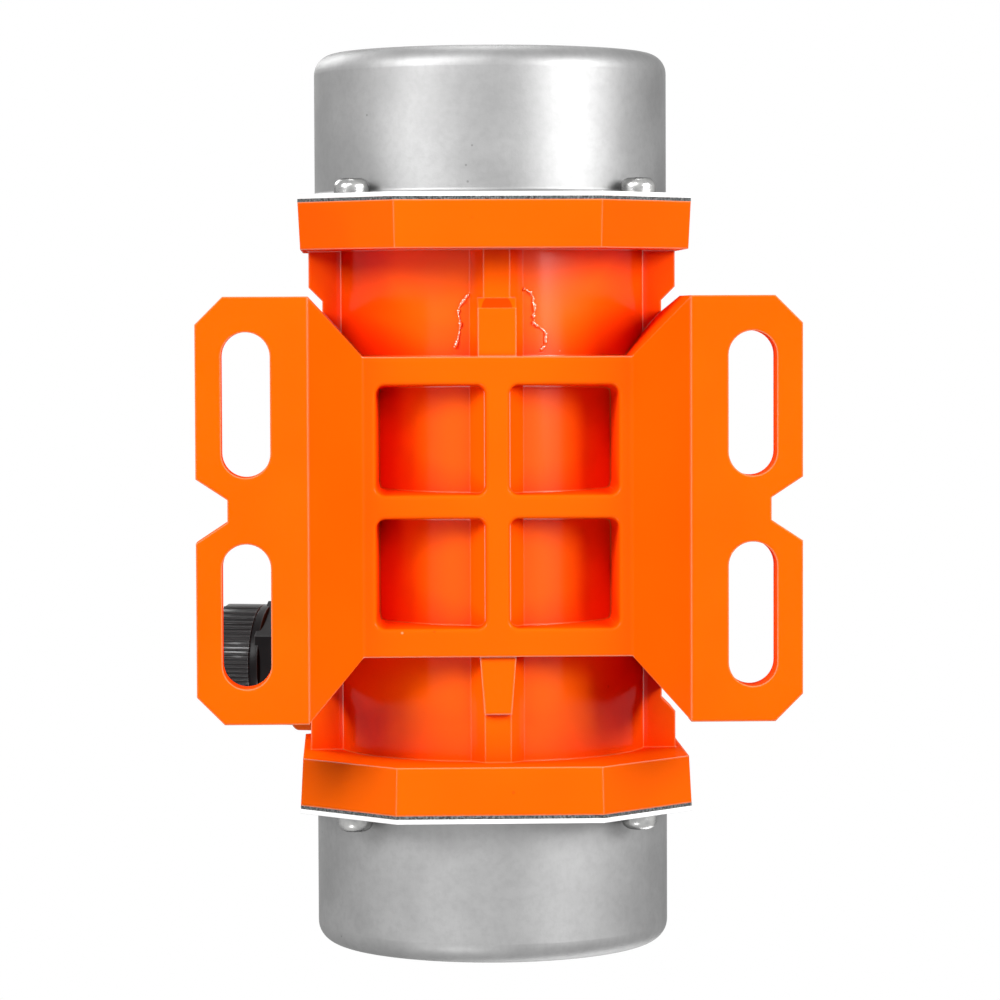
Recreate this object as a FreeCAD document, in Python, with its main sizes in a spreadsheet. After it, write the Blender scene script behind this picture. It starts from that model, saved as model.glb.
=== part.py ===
import FreeCAD, Part
import math
import os

import Sketcher

# A small foot-mounted vibration motor.
# Frame: X runs along the shaft, Y across the two feet, Z up from the base plane.
# The origin is the centre of the slot pattern, on the underside of the feet.
# End pieces are drawn once, for the front end (+X), and turned half a turn about Z for the rear.

os.makedirs("parts", exist_ok=True)
doc = FreeCAD.newDocument("VibrationMotor")
sheet = doc.addObject("Spreadsheet::Sheet", "Sizes")

driving_sizes = {
    # casting: barrel, end flanges and base
    "shaft_height": 52.0,
    "housing_length": 130.0,
    "barrel_radius": 34.0,
    "bore_radius": 31.2,
    "flange_thickness": 10.2,
    "flange_half_width": 42.3,
    "flange_half_height": 45.6,
    "flange_chamfer": 20.3,
    "flange_draft": 3.0,
    "foot_length": 89.4,
    "foot_outer": 63.5,
    "foot_inner": 40.0,
    "foot_thickness": 8.0,
    "foot_corner": 5.8,
    "notch_mouth": 13.4,
    "notch_floor": 4.7,
    "notch_depth": 6.6,
    "slot_pitch_along": 44.2,
    "slot_pitch_across": 106.0,
    "slot_width": 10.2,
    "slot_length": 30.4,
    "leg_outer": 45.0,
    "grid_level": 13.0,
    "grid_half_length": 31.9,
    "grid_half_width": 28.6,
    "window_size": 23.4,
    "grid_rib": 5.0,
    "window_corner": 2.0,
    "window_draft": 3.0,
    "keel_level": 15.5,
    "keel_half_width": 2.8,
    "keel_foot_half_width": 5.8,
    "keel_root_sink": 0.6,
    "keel_pad_level": 14.0,
    "keel_pad_half_width": 4.1,
    "keel_pad_end": 44.3,
    "keel_pad_slope": 2.1,
    "keel_pad_tip_half_width": 2.9,
    "strip_reach": 37.2,
    "strip_half_height": 8.0,
    "strip_end_reach": 40.2,
    "strip_end_length": 8.0,
    "cast_fillet": 1.5,
    "edge_fillet": 0.7,
    "gusset_half_width": 2.5,
    "gusset_reach": 55.0,
    "gusset_height": 20.0,
    # terminal box cast on the barrel
    "box_top": 112.0,
    "box_front": 36.0,
    "box_half_width": 37.0,
    "box_wall": 3.5,
    "box_floor": 76.0,
    "box_corner": 6.0,
    "pillar_radius": 5.5,
    "lid_thickness": 4.0,
    "lid_crown": 2.0,
    "lid_crown_inset": 10.5,
    "lid_crown_fillet": 1.2,
    "lid_edge_fillet": 1.0,
    "lid_hollow": 2.5,
    "lid_gasket_thickness": 1.5,
    "lid_screw_radius": 2.0,
    "lid_screw_depth": 14.0,
    "lid_head_radius": 3.8,
    "lid_head_height": 2.8,
    "lead_hole_radius": 6.0,
    "lead_hole_place": 35.0,
    "seat_level": 88.0,
    "block_length": 26.0,
    "block_width": 44.0,
    "block_height": 9.0,
    "block_place": -3.0,
    "block_screw_pitch": 36.0,
    "block_screw_radius": 1.5,
    "block_screw_length": 12.0,
    "block_head_radius": 2.6,
    "block_head_height": 2.2,
    "stud_pitch_along": 13.0,
    "stud_pitch_across": 13.0,
    "stud_radius": 2.0,
    "stud_height": 8.0,
    "stud_sink": 4.0,
    "stud_nut_size": 7.0,
    "barrier_height": 5.6,
    "barrier_half_width": 0.5,
    "stud_nut_height": 3.2,
    "earth_place": 22.0,
    "earth_side": 18.0,
    "earth_pillar_radius": 4.5,
    "earth_screw_length": 9.0,
    # cable gland
    "gland_from_flange": 14.8,
    "gland_reach": 43.2,
    "gland_height": 93.0,
    "gland_tilt": 14.0,
    "gland_boss_radius": 15.5,
    "gland_thread_radius": 10.0,
    "gland_thread_length": 9.0,
    "gland_bore_radius": 6.5,
    "gland_cable_radius": 4.0,
    "gland_washer_thickness": 1.5,
    "gland_hex_size": 25.0,
    "gland_hex_height": 6.0,
    "gland_neck_radius": 10.6,
    "gland_nut_radius": 14.0,
    "gland_nut_length": 11.0,
    "gland_nut_start": 11.4,
    "gland_neck_overlap": 5.0,
    "gland_nut_collar": 2.0,
    "gland_nut_collar_step": 1.6,
    "gland_nut_dome": 3.4,
    "gland_mouth_lip": 1.5,
    "gland_mouth_wall": 2.4,
    "gland_mouth_radius": 7.4,
    # weight cover and its fixings
    "cover_gasket_thickness": 0.7,
    "cover_radius": 38.8,
    "cover_wall": 1.0,
    "cover_depth": 33.0,
    "cover_end_fillet": 4.5,
    "cover_base_fillet": 1.0,
    "cover_screw_circle": 43.3,
    "cover_screw_radius": 2.0,
    "cover_screw_length": 9.0,
    "cover_head_radius": 3.8,
    "cover_head_height": 3.2,
    "screw_clearance": 0.3,
    "thread_clearance": 0.02,
    "tapped_depth_spare": 1.5,
    "cross_arm_share": 1.16,
    "cross_width_share": 0.26,
    "cross_depth_share": 0.45,
    "screw_dome_share": 0.62,
    # bearing brackets and bearings
    "bracket_clearance": 0.6,
    "bracket_thickness": 5.0,
    "spigot_length": 6.0,
    "spigot_wall": 4.0,
    "spigot_clearance": 0.04,
    "hub_radius": 22.0,
    "hub_depth": 15.0,
    "bearing_seat_depth": 11.5,
    "bearing_outer_radius": 17.5,
    "bearing_bore_radius": 7.5,
    "bearing_width": 11.0,
    "bearing_ring_wall": 2.6,
    "ball_radius": 3.0,
    "ball_clearance": 0.05,
    "ball_count": 8,
    "cage_half_width": 4.2,
    "cage_half_wall": 0.7,
    "circlip_thickness": 1.3,
    "circlip_depth": 0.9,
    "circlip_reach": 2.6,
    "circlip_gap": 8.0,
    "bracket_screw_radius": 1.5,
    "bracket_screw_circle": 34.4,
    "bracket_screw_length": 12.0,
    "bracket_head_radius": 2.6,
    "bracket_head_height": 2.2,
    # stator and rotor
    "core_length": 56.0,
    "stator_bore_radius": 15.9,
    "stator_clearance": 0.04,
    "stator_slots": 12,
    "tooth_tip": 1.6,
    "slot_mouth": 1.8,
    "slot_root_radius": 26.0,
    "slot_inner_width": 4.0,
    "slot_outer_width": 8.0,
    "slot_liner": 0.3,
    "winding_inner_radius": 18.0,
    "winding_outer_radius": 28.0,
    "winding_reach": 17.0,
    "winding_bevel": 2.4,
    "air_gap": 0.4,
    "rotor_ring_length": 5.0,
    "rotor_ring_wall": 4.6,
    "shaft_core_radius": 10.0,
    "shaft_shoulder_radius": 8.8,
    "shaft_core_spare": 6.0,
    "running_clearance": 0.6,
    # eccentric weights on the shaft ends
    "weight_seat_radius": 7.0,
    "weight_start": 9.0,
    "weight_thickness": 8.0,
    "weight_gap": 0.4,
    "weight_radius": 35.0,
    "weight_chord": 1.0,
    "weight_hub_radius": 14.0,
    "weight_bore_clearance": 0.03,
    "clamp_half_width": 11.0,
    "clamp_height": 17.0,
    "clamp_slit": 1.6,
    "clamp_screw_level": 12.0,
    "clamp_screw_radius": 2.0,
    "clamp_head_radius": 3.5,
    "clamp_head_height": 4.0,
    "clamp_socket": 3.0,
    "key_width": 4.0,
    "key_sink": 2.4,
    "key_stand": 1.6,
    "key_clearance": 0.1,
    "spacer_radius": 10.0,
    "washer_thickness": 1.0,
    "shaft_clip_thickness": 1.0,
    "shaft_clip_depth": 0.5,
    "shaft_clip_reach": 2.4,
    "shaft_clip_gap": 4.0,
    "shaft_end_spare": 2.2,
    "shaft_end_chamfer": 1.0,
    # diagonal of a unit square, and flat to flat of a hexagon over its corner radius
    "square_diagonal": 1.41421356,
    "hexagon_flat_ratio": 1.7320508,
}
for row, (name, amount) in enumerate(driving_sizes.items(), start=1):
    sheet.set(f"A{row}", name)
    sheet.set(f"B{row}", str(amount))
    sheet.setAlias(f"B{row}", name)
doc.recompute()

sub_parts = []


def number(expression):
    """The value of an expression in the sheet's sizes."""
    return float(sheet.evalExpression(expression))


def sized(expression):
    """The same expression as seen from another object of the document."""
    words = []
    for word in expression.replace("(", "( ").replace(")", " )").split():
        words.append(f"Sizes.{word}" if word in driving_sizes else word)
    return " ".join(words)


def new_body(label):
    body = doc.addObject("PartDesign::Body", label)
    body.Label = label
    sub_parts.append(body)
    return body


def sketch_on(body, role, offset="0"):
    """A sketch on one of the body's own planes, moved along the plane's normal."""
    plane = next(item for item in body.Origin.OriginFeatures if item.Role == role)
    sketch = body.newObject("Sketcher::SketchObject", f"{body.Name}_sketch")
    sketch.AttachmentSupport = [(plane, "")]
    sketch.MapMode = "FlatFace"
    if offset != "0":
        sketch.setExpression("AttachmentOffset.Base.z", sized(offset))
    return sketch


def hold(sketch, kind, geometry, point, expression):
    """Tie one coordinate of a sketch point to an expression."""
    if expression == "0":
        axis = -2 if kind == "DistanceX" else -1
        sketch.addConstraint(Sketcher.Constraint("PointOnObject", geometry, point, axis))
        return
    place = number(expression)
    index = sketch.addConstraint(Sketcher.Constraint(kind, -1, 1, geometry, point, place))
    sketch.setExpression(f"Constraints[{index}]", sized(expression))


def outline(sketch, corners):
    """A closed polygon through corners given as pairs of expressions."""
    points = [FreeCAD.Vector(number(across), number(up), 0) for across, up in corners]
    first = sketch.GeometryCount
    for index, point in enumerate(points):
        following = points[(index + 1) % len(points)]
        sketch.addGeometry(Part.LineSegment(point, following), False)
    for index, (across, up) in enumerate(corners):
        following = first + (index + 1) % len(points)
        sketch.addConstraint(Sketcher.Constraint("Coincident", first + index, 2, following, 1))
        hold(sketch, "DistanceX", first + index, 1, across)
        hold(sketch, "DistanceY", first + index, 1, up)


def circle(sketch, radius, across="0", up="0"):
    centre = FreeCAD.Vector(number(across), number(up), 0)
    ring = Part.Circle(centre, FreeCAD.Vector(0, 0, 1), number(radius))
    index = sketch.addGeometry(ring, False)
    hold(sketch, "DistanceX", index, 3, across)
    hold(sketch, "DistanceY", index, 3, up)
    size = sketch.addConstraint(Sketcher.Constraint("Radius", index, number(radius)))
    sketch.setExpression(f"Constraints[{size}]", sized(radius))


def rectangle(sketch, left, right, low, high):
    outline(sketch, [(left, low), (right, low), (right, high), (left, high)])


def arc(sketch, centre, radius, start, end):
    ring = Part.Circle(FreeCAD.Vector(centre[0], centre[1], 0), FreeCAD.Vector(0, 0, 1), radius)
    return sketch.addGeometry(Part.ArcOfCircle(ring, math.radians(start), math.radians(end)), False)


def line(sketch, start, end):
    segment = Part.LineSegment(FreeCAD.Vector(start[0], start[1], 0), FreeCAD.Vector(end[0], end[1], 0))
    return sketch.addGeometry(segment, False)


def rounded_rectangle(sketch, left, right, low, high, radius):
    """Four sides joined by tangent arcs of one radius."""
    x0, x1 = number(left), number(right)
    y0, y1 = number(low), number(high)
    r = number(radius)
    south = line(sketch, (x0 + r, y0), (x1 - r, y0))
    south_east = arc(sketch, (x1 - r, y0 + r), r, -90, 0)
    east = line(sketch, (x1, y0 + r), (x1, y1 - r))
    north_east = arc(sketch, (x1 - r, y1 - r), r, 0, 90)
    north = line(sketch, (x1 - r, y1), (x0 + r, y1))
    north_west = arc(sketch, (x0 + r, y1 - r), r, 90, 180)
    west = line(sketch, (x0, y1 - r), (x0, y0 + r))
    south_west = arc(sketch, (x0 + r, y0 + r), r, 180, 270)
    chain = [south, south_east, east, north_east, north, north_west, west, south_west]
    for index, item in enumerate(chain):
        following = chain[(index + 1) % len(chain)]
        sketch.addConstraint(Sketcher.Constraint("Tangent", item, 2, following, 1))
    sketch.addConstraint(Sketcher.Constraint("Horizontal", south))
    sketch.addConstraint(Sketcher.Constraint("Vertical", east))
    for other in (north_east, north_west, south_west):
        sketch.addConstraint(Sketcher.Constraint("Equal", south_east, other))
    size = sketch.addConstraint(Sketcher.Constraint("Radius", south_east, r))
    sketch.setExpression(f"Constraints[{size}]", sized(radius))
    hold(sketch, "DistanceX", south_west, 3, f"{left} + ( {radius} )")
    hold(sketch, "DistanceY", south_west, 3, f"{low} + ( {radius} )")
    hold(sketch, "DistanceX", north_east, 3, f"{right} - ( {radius} )")
    hold(sketch, "DistanceY", north_east, 3, f"{high} - ( {radius} )")


def long_slot(sketch, across, up, run, radius):
    """A round-ended slot along the sketch's X axis; run is half the distance of its two centres."""
    x, y = number(across), number(up)
    half, r = number(run), number(radius)
    left = arc(sketch, (x - half, y), r, 90, 270)
    right = arc(sketch, (x + half, y), r, -90, 90)
    low = line(sketch, (x - half, y - r), (x + half, y - r))
    high = line(sketch, (x + half, y + r), (x - half, y + r))
    for first, second in ((left, low), (low, right), (right, high), (high, left)):
        sketch.addConstraint(Sketcher.Constraint("Tangent", first, 2, second, 1))
    sketch.addConstraint(Sketcher.Constraint("Equal", left, right))
    size = sketch.addConstraint(Sketcher.Constraint("Radius", left, r))
    sketch.setExpression(f"Constraints[{size}]", sized(radius))
    hold(sketch, "DistanceX", left, 3, f"{across} - {run}")
    hold(sketch, "DistanceY", left, 3, up)
    hold(sketch, "DistanceX", right, 3, f"{across} + {run}")
    hold(sketch, "DistanceY", right, 3, up)


def grow(body, kind, sketch, length, both_ways=False, reverse=False, taper="0"):
    """A Pad or Pocket of a sketch, its length bound to an expression."""
    feature = body.newObject(f"PartDesign::{kind}", f"{body.Name}_{kind}")
    feature.Profile = sketch
    feature.setExpression("Length", sized(length))
    feature.SideType = "Symmetric" if both_ways else "One side"
    feature.Reversed = reverse
    if taper != "0":
        feature.setExpression("TaperAngle", sized(taper))
    doc.recompute()
    return feature


def pad(body, sketch, length, **options):
    return grow(body, "Pad", sketch, length, **options)


def pocket(body, sketch, length, **options):
    return grow(body, "Pocket", sketch, length, **options)


def spin(body, kind, sketch):
    """A full turn of a sketch about its own horizontal axis."""
    feature = body.newObject(f"PartDesign::{kind}", f"{body.Name}_{kind}")
    feature.Profile = sketch
    feature.ReferenceAxis = (sketch, ["H_Axis"])
    feature.Angle = 360
    doc.recompute()
    return feature


def mirror(body, features, role):
    plane = next(item for item in body.Origin.OriginFeatures if item.Role == role)
    feature = body.newObject("PartDesign::Mirrored", f"{body.Name}_mirror")
    feature.Originals = features
    feature.MirrorPlane = (plane, [""])
    body.Tip = feature
    doc.recompute()
    return feature


def repeat_round(body, features, count):
    """Copies of features spread evenly about the body's X axis."""
    axis = next(item for item in body.Origin.OriginFeatures if item.Role == "X_Axis")
    feature = body.newObject("PartDesign::PolarPattern", f"{body.Name}_ring")
    feature.Originals = features
    feature.Axis = (axis, [""])
    feature.Angle = 360
    feature.setExpression("Occurrences", sized(count))
    body.Tip = feature
    doc.recompute()
    return feature


def round_edges(body, radius, wanted):
    """Round the edges of the body's latest feature that the test picks."""
    base = body.Tip
    names = [f"Edge{index}" for index, edge in enumerate(base.Shape.Edges, start=1) if wanted(edge)]
    if not names:
        raise RuntimeError(f"{body.Label}: no edge to round")
    feature = body.newObject("PartDesign::Fillet", f"{body.Name}_fillet")
    feature.Base = (base, names)
    feature.setExpression("Radius", sized(radius))
    doc.recompute()
    return feature


def close(first, second, within=0.02):
    return abs(first - second) < within


def middle(edge):
    return edge.valueAt((edge.FirstParameter + edge.LastParameter) / 2)


def turned(label, corners):
    """A body of revolution about X; corners are (along, radius) pairs."""
    body = new_body(label)
    sketch = sketch_on(body, "XZ_Plane")
    outline(sketch, corners)
    spin(body, "Revolution", sketch)
    return body


def on_shaft_line(body, end="front"):
    """Seat a piece on the shaft line; rear pieces are turned half a turn about Z."""
    turn = 180 if end == "rear" else 0
    body.Placement = FreeCAD.Placement(FreeCAD.Vector(0, 0, 0), FreeCAD.Rotation(FreeCAD.Vector(0, 0, 1), turn))
    body.setExpression("Placement.Base.z", sized("shaft_height"))


# places shared by mating pieces, as distances outward from the mid-plane of the housing
FLANGE_FACE = "housing_length / 2"
FLANGE_INNER = "housing_length / 2 - flange_thickness"
COVER_SEAT = f"{FLANGE_FACE} + cover_gasket_thickness"
COVER_PLATE_TOP = f"{COVER_SEAT} + cover_wall"
COVER_SCREW_PLACE = "cover_screw_circle / square_diagonal"
BRACKET_TAP = "bracket_screw_radius + thread_clearance"
BLOCK_TAP = "block_screw_radius + thread_clearance"
BRACKET_TOP = f"{FLANGE_FACE} + bracket_thickness"
BEARING_INNER = f"{FLANGE_FACE} - bearing_seat_depth"
BEARING_OUTER = f"{FLANGE_FACE} - bearing_seat_depth + bearing_width"
BEARING_MIDDLE = f"{FLANGE_FACE} - bearing_seat_depth + bearing_width / 2"
BALL_CIRCLE = "( bearing_outer_radius + bearing_bore_radius ) / 2"
WEIGHT_START = f"{FLANGE_FACE} + weight_start"
OUTER_WEIGHT_START = f"{WEIGHT_START} + weight_thickness + weight_gap"
OUTER_WEIGHT_END = f"{OUTER_WEIGHT_START} + weight_thickness"
SHAFT_CLIP_START = f"{OUTER_WEIGHT_END} + washer_thickness + weight_gap"
SHAFT_CLIP_END = f"{SHAFT_CLIP_START} + shaft_clip_thickness"
SHAFT_END = f"{SHAFT_CLIP_END} + shaft_end_spare"
GLAND_PLACE = f"0 - ( {FLANGE_INNER} - gland_from_flange )"
LID_SEAT = "box_top + lid_gasket_thickness"
BOX_REAR = f"0 - ( {FLANGE_INNER} )"
PILLAR_FRONT = "box_front - pillar_radius"
PILLAR_REAR = f"0 - ( {FLANGE_INNER} ) + pillar_radius"
PILLAR_SIDE = "box_half_width - pillar_radius"


def octagon(sketch, centre):
    """The outline shared by end flange, gasket and cover plate; centre is the height of its middle."""
    wide, tall, cut = "flange_half_width", "flange_half_height", "flange_chamfer"
    half = [
        (f"{wide} - {cut}", f"{centre} - {tall}"),
        (wide, f"{centre} - {tall} + {cut}"),
        (wide, f"{centre} + {tall} - {cut}"),
        (f"{wide} - {cut}", f"{centre} + {tall}"),
    ]
    mirrored = [(f"0 - ( {across} )", up) for across, up in reversed(half)]
    outline(sketch, half + mirrored)


def corner_circles(sketch, radius, place, centre):
    for side in ("", "0 - "):
        for level in ("+", "-"):
            circle(sketch, radius, f"{side}( {place} )", f"{centre} {level} {place}")


def at_web_bend(edge):
    """The long edges where a sloped web meets its foot and the rib grid."""
    box = edge.BoundBox
    if box.XLength < number("foot_length") / 2:
        return False
    reach = abs(middle(edge).y)
    at_foot = close(reach, number("foot_inner")) and close(box.ZMax, 0)
    at_grid = close(reach, number("grid_half_width")) and close(box.ZMax, number("grid_level"))
    return at_foot or at_grid


def make_housing():
    body = new_body("housing")

    # pedestal: one cross-section across the feet, with sloped webs up to the rib grid
    section = sketch_on(body, "YZ_Plane")
    outline(section, [
        ("foot_inner", "0"),
        ("leg_outer", "0"),
        ("leg_outer", "foot_thickness"),
        ("strip_reach", "shaft_height - strip_half_height"),
        ("strip_reach", "shaft_height"),
        ("0 - strip_reach", "shaft_height"),
        ("0 - strip_reach", "shaft_height - strip_half_height"),
        ("0 - leg_outer", "foot_thickness"),
        ("0 - leg_outer", "0"),
        ("0 - foot_inner", "0"),
        ("0 - grid_half_width", "grid_level"),
        ("grid_half_width", "grid_level"),
    ])
    pad(body, section, "foot_length", both_ways=True)
    round_edges(body, "cast_fillet", at_web_bend)

    # the webs end on diagonals that run from the feet in to the grid
    plan = sketch_on(body, "XY_Plane")
    beyond = "foot_length / 2 + cast_fillet"
    slope = "foot_inner + cast_fillet"
    outline(plan, [
        ("grid_half_length", "0 - grid_half_width"),
        (beyond, f"0 - ( {slope} )"),
        (beyond, slope),
        ("grid_half_length", "grid_half_width"),
    ])
    relief = pocket(body, plan, "shaft_height", reverse=True)
    mirror(body, [relief], "YZ_Plane")

    # four drafted windows; the barrel added later closes them as their floor
    windows = sketch_on(body, "XY_Plane", "grid_level")
    near, far = "grid_rib / 2", "grid_rib / 2 + window_size"
    spans = ((near, far), (f"0 - ( {far} )", f"0 - {near}"))
    for left, right in spans:
        for low, high in spans:
            rounded_rectangle(windows, left, right, low, high, "window_corner")
    pocket(body, windows, "shaft_height - grid_level", reverse=True, taper="0 - window_draft")
    rim = number("grid_level")
    inside = number("grid_rib / 2 + window_size")

    def at_window_rim(edge):
        box = edge.BoundBox
        point = middle(edge)
        return close(box.ZMin, rim) and close(box.ZMax, rim) and max(abs(point.x), abs(point.y)) < inside + 0.1

    round_edges(body, "edge_fillet", at_window_rim)

    # feet: plates with chamfered corners and a notch in the middle of the outer edge
    feet = sketch_on(body, "XY_Plane")
    end = "foot_length / 2"
    for side in ("", "0 - "):
        outline(feet, [
            (end, f"{side}foot_inner"),
            (end, f"{side}( foot_outer - foot_corner )"),
            ("foot_length / 2 - foot_corner", f"{side}foot_outer"),
            ("notch_mouth / 2", f"{side}foot_outer"),
            ("notch_floor / 2", f"{side}( foot_outer - notch_depth )"),
            ("0 - notch_floor / 2", f"{side}( foot_outer - notch_depth )"),
            ("0 - notch_mouth / 2", f"{side}foot_outer"),
            ("foot_corner - foot_length / 2", f"{side}foot_outer"),
            ("0 - foot_length / 2", f"{side}( foot_outer - foot_corner )"),
            ("0 - foot_length / 2", f"{side}foot_inner"),
        ])
    pad(body, feet, "foot_thickness")
    slots = sketch_on(body, "XY_Plane")
    for along in ("slot_pitch_along / 2", "0 - slot_pitch_along / 2"):
        for across in ("slot_pitch_across / 2", "0 - slot_pitch_across / 2"):
            long_slot(slots, along, across, "( slot_length - slot_width ) / 2", "slot_width / 2")
    pocket(body, slots, "foot_thickness", reverse=True)
    gusset = sketch_on(body, "YZ_Plane")
    for side in ("", "0 - "):
        outline(gusset, [
            (f"{side}( leg_outer - gusset_half_width )", "foot_thickness / 2"),
            (f"{side}gusset_reach", "foot_thickness / 2"),
            (f"{side}gusset_reach", "foot_thickness"),
            (f"{side}( leg_outer - gusset_half_width )", "foot_thickness + gusset_height"),
        ])
    pad(body, gusset, "2 * gusset_half_width", both_ways=True)

    # terminal box walls, hollow before the barrel goes through
    box = sketch_on(body, "XY_Plane", "shaft_height")
    rounded_rectangle(box, BOX_REAR, "box_front", "0 - box_half_width", "box_half_width", "box_corner")
    pad(body, box, "box_top - shaft_height")
    cavity = sketch_on(body, "XY_Plane", "box_floor")
    rounded_rectangle(cavity, f"{BOX_REAR} + box_wall", "box_front - box_wall",
                      "box_wall - box_half_width", "box_half_width - box_wall", "box_corner - box_wall")
    pocket(body, cavity, "box_top - box_floor", reverse=True)
    pillars = sketch_on(body, "XY_Plane", "box_floor")
    for along in (PILLAR_FRONT, PILLAR_REAR):
        for side in ("", "0 - "):
            circle(pillars, "pillar_radius", along, f"{side}( {PILLAR_SIDE} )")
    pad(body, pillars, "box_top - box_floor")

    # gland boss on the left wall, tilted outward and up
    boss = sketch_on(body, "XZ_Plane")
    boss.AttachmentOffset = FreeCAD.Placement(FreeCAD.Vector(0, 0, 0), FreeCAD.Rotation(0, 0, -number("gland_tilt")))
    boss.setExpression("AttachmentOffset.Base.x", sized(GLAND_PLACE))
    boss.setExpression("AttachmentOffset.Base.y", sized("gland_height"))
    boss.setExpression("AttachmentOffset.Base.z", sized("gland_reach"))
    circle(boss, "gland_boss_radius")
    pad(body, boss, "gland_reach - box_half_width + box_wall", reverse=True)
    entry = sketch_on(body, "XZ_Plane")
    entry.AttachmentOffset = boss.AttachmentOffset
    entry.setExpression("AttachmentOffset.Base.x", sized(GLAND_PLACE))
    entry.setExpression("AttachmentOffset.Base.y", sized("gland_height"))
    entry.setExpression("AttachmentOffset.Base.z", sized("gland_reach"))
    circle(entry, "gland_thread_radius")
    pocket(body, entry, "gland_reach - box_half_width + 3 * box_wall")

    # barrel, and on its crown the terminal block's seat and the earth pillar
    barrel = sketch_on(body, "YZ_Plane")
    circle(barrel, "barrel_radius", "0", "shaft_height")
    pad(body, barrel, "housing_length", both_ways=True)
    seat = sketch_on(body, "XY_Plane", "box_floor")
    rectangle(seat, "block_place - block_length / 2", "block_place + block_length / 2",
              "0 - block_width / 2", "block_width / 2")
    circle(seat, "earth_pillar_radius", "earth_place", "earth_side")
    pad(body, seat, "seat_level - box_floor")

    # side strips along the barrel, wider where they run into the flanges
    strips = sketch_on(body, "XY_Plane", "shaft_height")
    for side in ("", "0 - "):
        narrow = f"{side}strip_reach"
        wide = f"{side}strip_end_reach"
        step = f"{FLANGE_INNER} - strip_end_length"
        taper = f"{step} - strip_end_reach + strip_reach"
        outline(strips, [
            (f"0 - ( {FLANGE_FACE} )", f"{side}bore_radius"),
            (FLANGE_FACE, f"{side}bore_radius"),
            (FLANGE_FACE, wide),
            (step, wide),
            (taper, narrow),
            (f"0 - ( {taper} )", narrow),
            (f"0 - ( {step} )", wide),
            (f"0 - ( {FLANGE_FACE} )", wide),
        ])
    pad(body, strips, "2 * strip_half_height", both_ways=True)

    # keel under the barrel, with a raised pad at each end of the grid
    keel = sketch_on(body, "YZ_Plane")
    keel_root = "shaft_height - barrel_radius + keel_root_sink"
    outline(keel, [
        ("keel_half_width", "keel_level"),
        ("keel_foot_half_width", keel_root),
        ("keel_foot_half_width", "shaft_height - bore_radius"),
        ("0 - keel_foot_half_width", "shaft_height - bore_radius"),
        ("0 - keel_foot_half_width", keel_root),
        ("0 - keel_half_width", "keel_level"),
    ])
    pad(body, keel, "housing_length", both_ways=True)
    front_pad = sketch_on(body, "XZ_Plane")
    outline(front_pad, [
        ("grid_half_length - grid_rib / 2", "keel_pad_level"),
        ("keel_pad_end - keel_pad_slope", "keel_pad_level"),
        ("keel_pad_end", "keel_level"),
        ("keel_pad_end", "shaft_height - bore_radius"),
        ("grid_half_length - grid_rib / 2", "shaft_height - bore_radius"),
    ])
    pad(body, front_pad, "2 * keel_pad_half_width", both_ways=True)
    rear_pad = sketch_on(body, "XY_Plane", "keel_pad_level")
    outline(rear_pad, [
        ("grid_rib / 2 - grid_half_length", "keel_pad_half_width"),
        ("0 - keel_pad_end", "keel_pad_tip_half_width"),
        ("0 - keel_pad_end", "0 - keel_pad_tip_half_width"),
        ("grid_rib / 2 - grid_half_length", "0 - keel_pad_half_width"),
    ])
    pad(body, rear_pad, "shaft_height - bore_radius - keel_pad_level")

    # end flanges
    flange = sketch_on(body, "YZ_Plane", FLANGE_FACE)
    octagon(flange, "shaft_height")
    front = pad(body, flange, "flange_thickness", reverse=True, taper="0 - flange_draft")
    mirror(body, [front], "YZ_Plane")

    # stator bore, lead passage and tapped holes
    bore = sketch_on(body, "YZ_Plane")
    circle(bore, "bore_radius", "0", "shaft_height")
    pocket(body, bore, "housing_length + 2 * cast_fillet", both_ways=True)
    passage = sketch_on(body, "XY_Plane", "shaft_height")
    circle(passage, "lead_hole_radius", "0 - lead_hole_place")
    pocket(body, passage, "barrel_radius + cast_fillet", reverse=True)
    cover_taps = sketch_on(body, "YZ_Plane", FLANGE_FACE)
    corner_circles(cover_taps, "cover_screw_radius + thread_clearance", COVER_SCREW_PLACE, "shaft_height")
    cover_depth = "cover_screw_length + tapped_depth_spare - cover_gasket_thickness - cover_wall"
    cover_holes = pocket(body, cover_taps, cover_depth)
    mirror(body, [cover_holes], "YZ_Plane")
    bracket_taps = sketch_on(body, "YZ_Plane", FLANGE_FACE)
    circle(bracket_taps, BRACKET_TAP, "bracket_screw_circle", "shaft_height")
    circle(bracket_taps, BRACKET_TAP, "0 - bracket_screw_circle", "shaft_height")
    circle(bracket_taps, BRACKET_TAP, "0", "shaft_height + bracket_screw_circle")
    circle(bracket_taps, BRACKET_TAP, "0", "shaft_height - bracket_screw_circle")
    bracket_depth = "bracket_screw_length + tapped_depth_spare - bracket_thickness"
    bracket_holes = pocket(body, bracket_taps, bracket_depth)
    mirror(body, [bracket_holes], "YZ_Plane")
    lid_taps = sketch_on(body, "XY_Plane", "box_top")
    for along in (PILLAR_FRONT, PILLAR_REAR):
        for side in ("", "0 - "):
            circle(lid_taps, "lid_screw_radius + thread_clearance", along, f"{side}( {PILLAR_SIDE} )")
    pocket(body, lid_taps, "lid_screw_depth + tapped_depth_spare")
    seat_taps = sketch_on(body, "XY_Plane", "seat_level")
    circle(seat_taps, "stud_radius + thread_clearance", "earth_place", "earth_side")
    pocket(body, seat_taps, "earth_screw_length")
    block_taps = sketch_on(body, "XY_Plane", "seat_level")
    circle(block_taps, BLOCK_TAP, "block_place", "block_screw_pitch / 2")
    circle(block_taps, BLOCK_TAP, "block_place", "0 - block_screw_pitch / 2")
    pocket(body, block_taps, "block_screw_length - block_height + tapped_depth_spare / 3")
    return body


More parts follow.
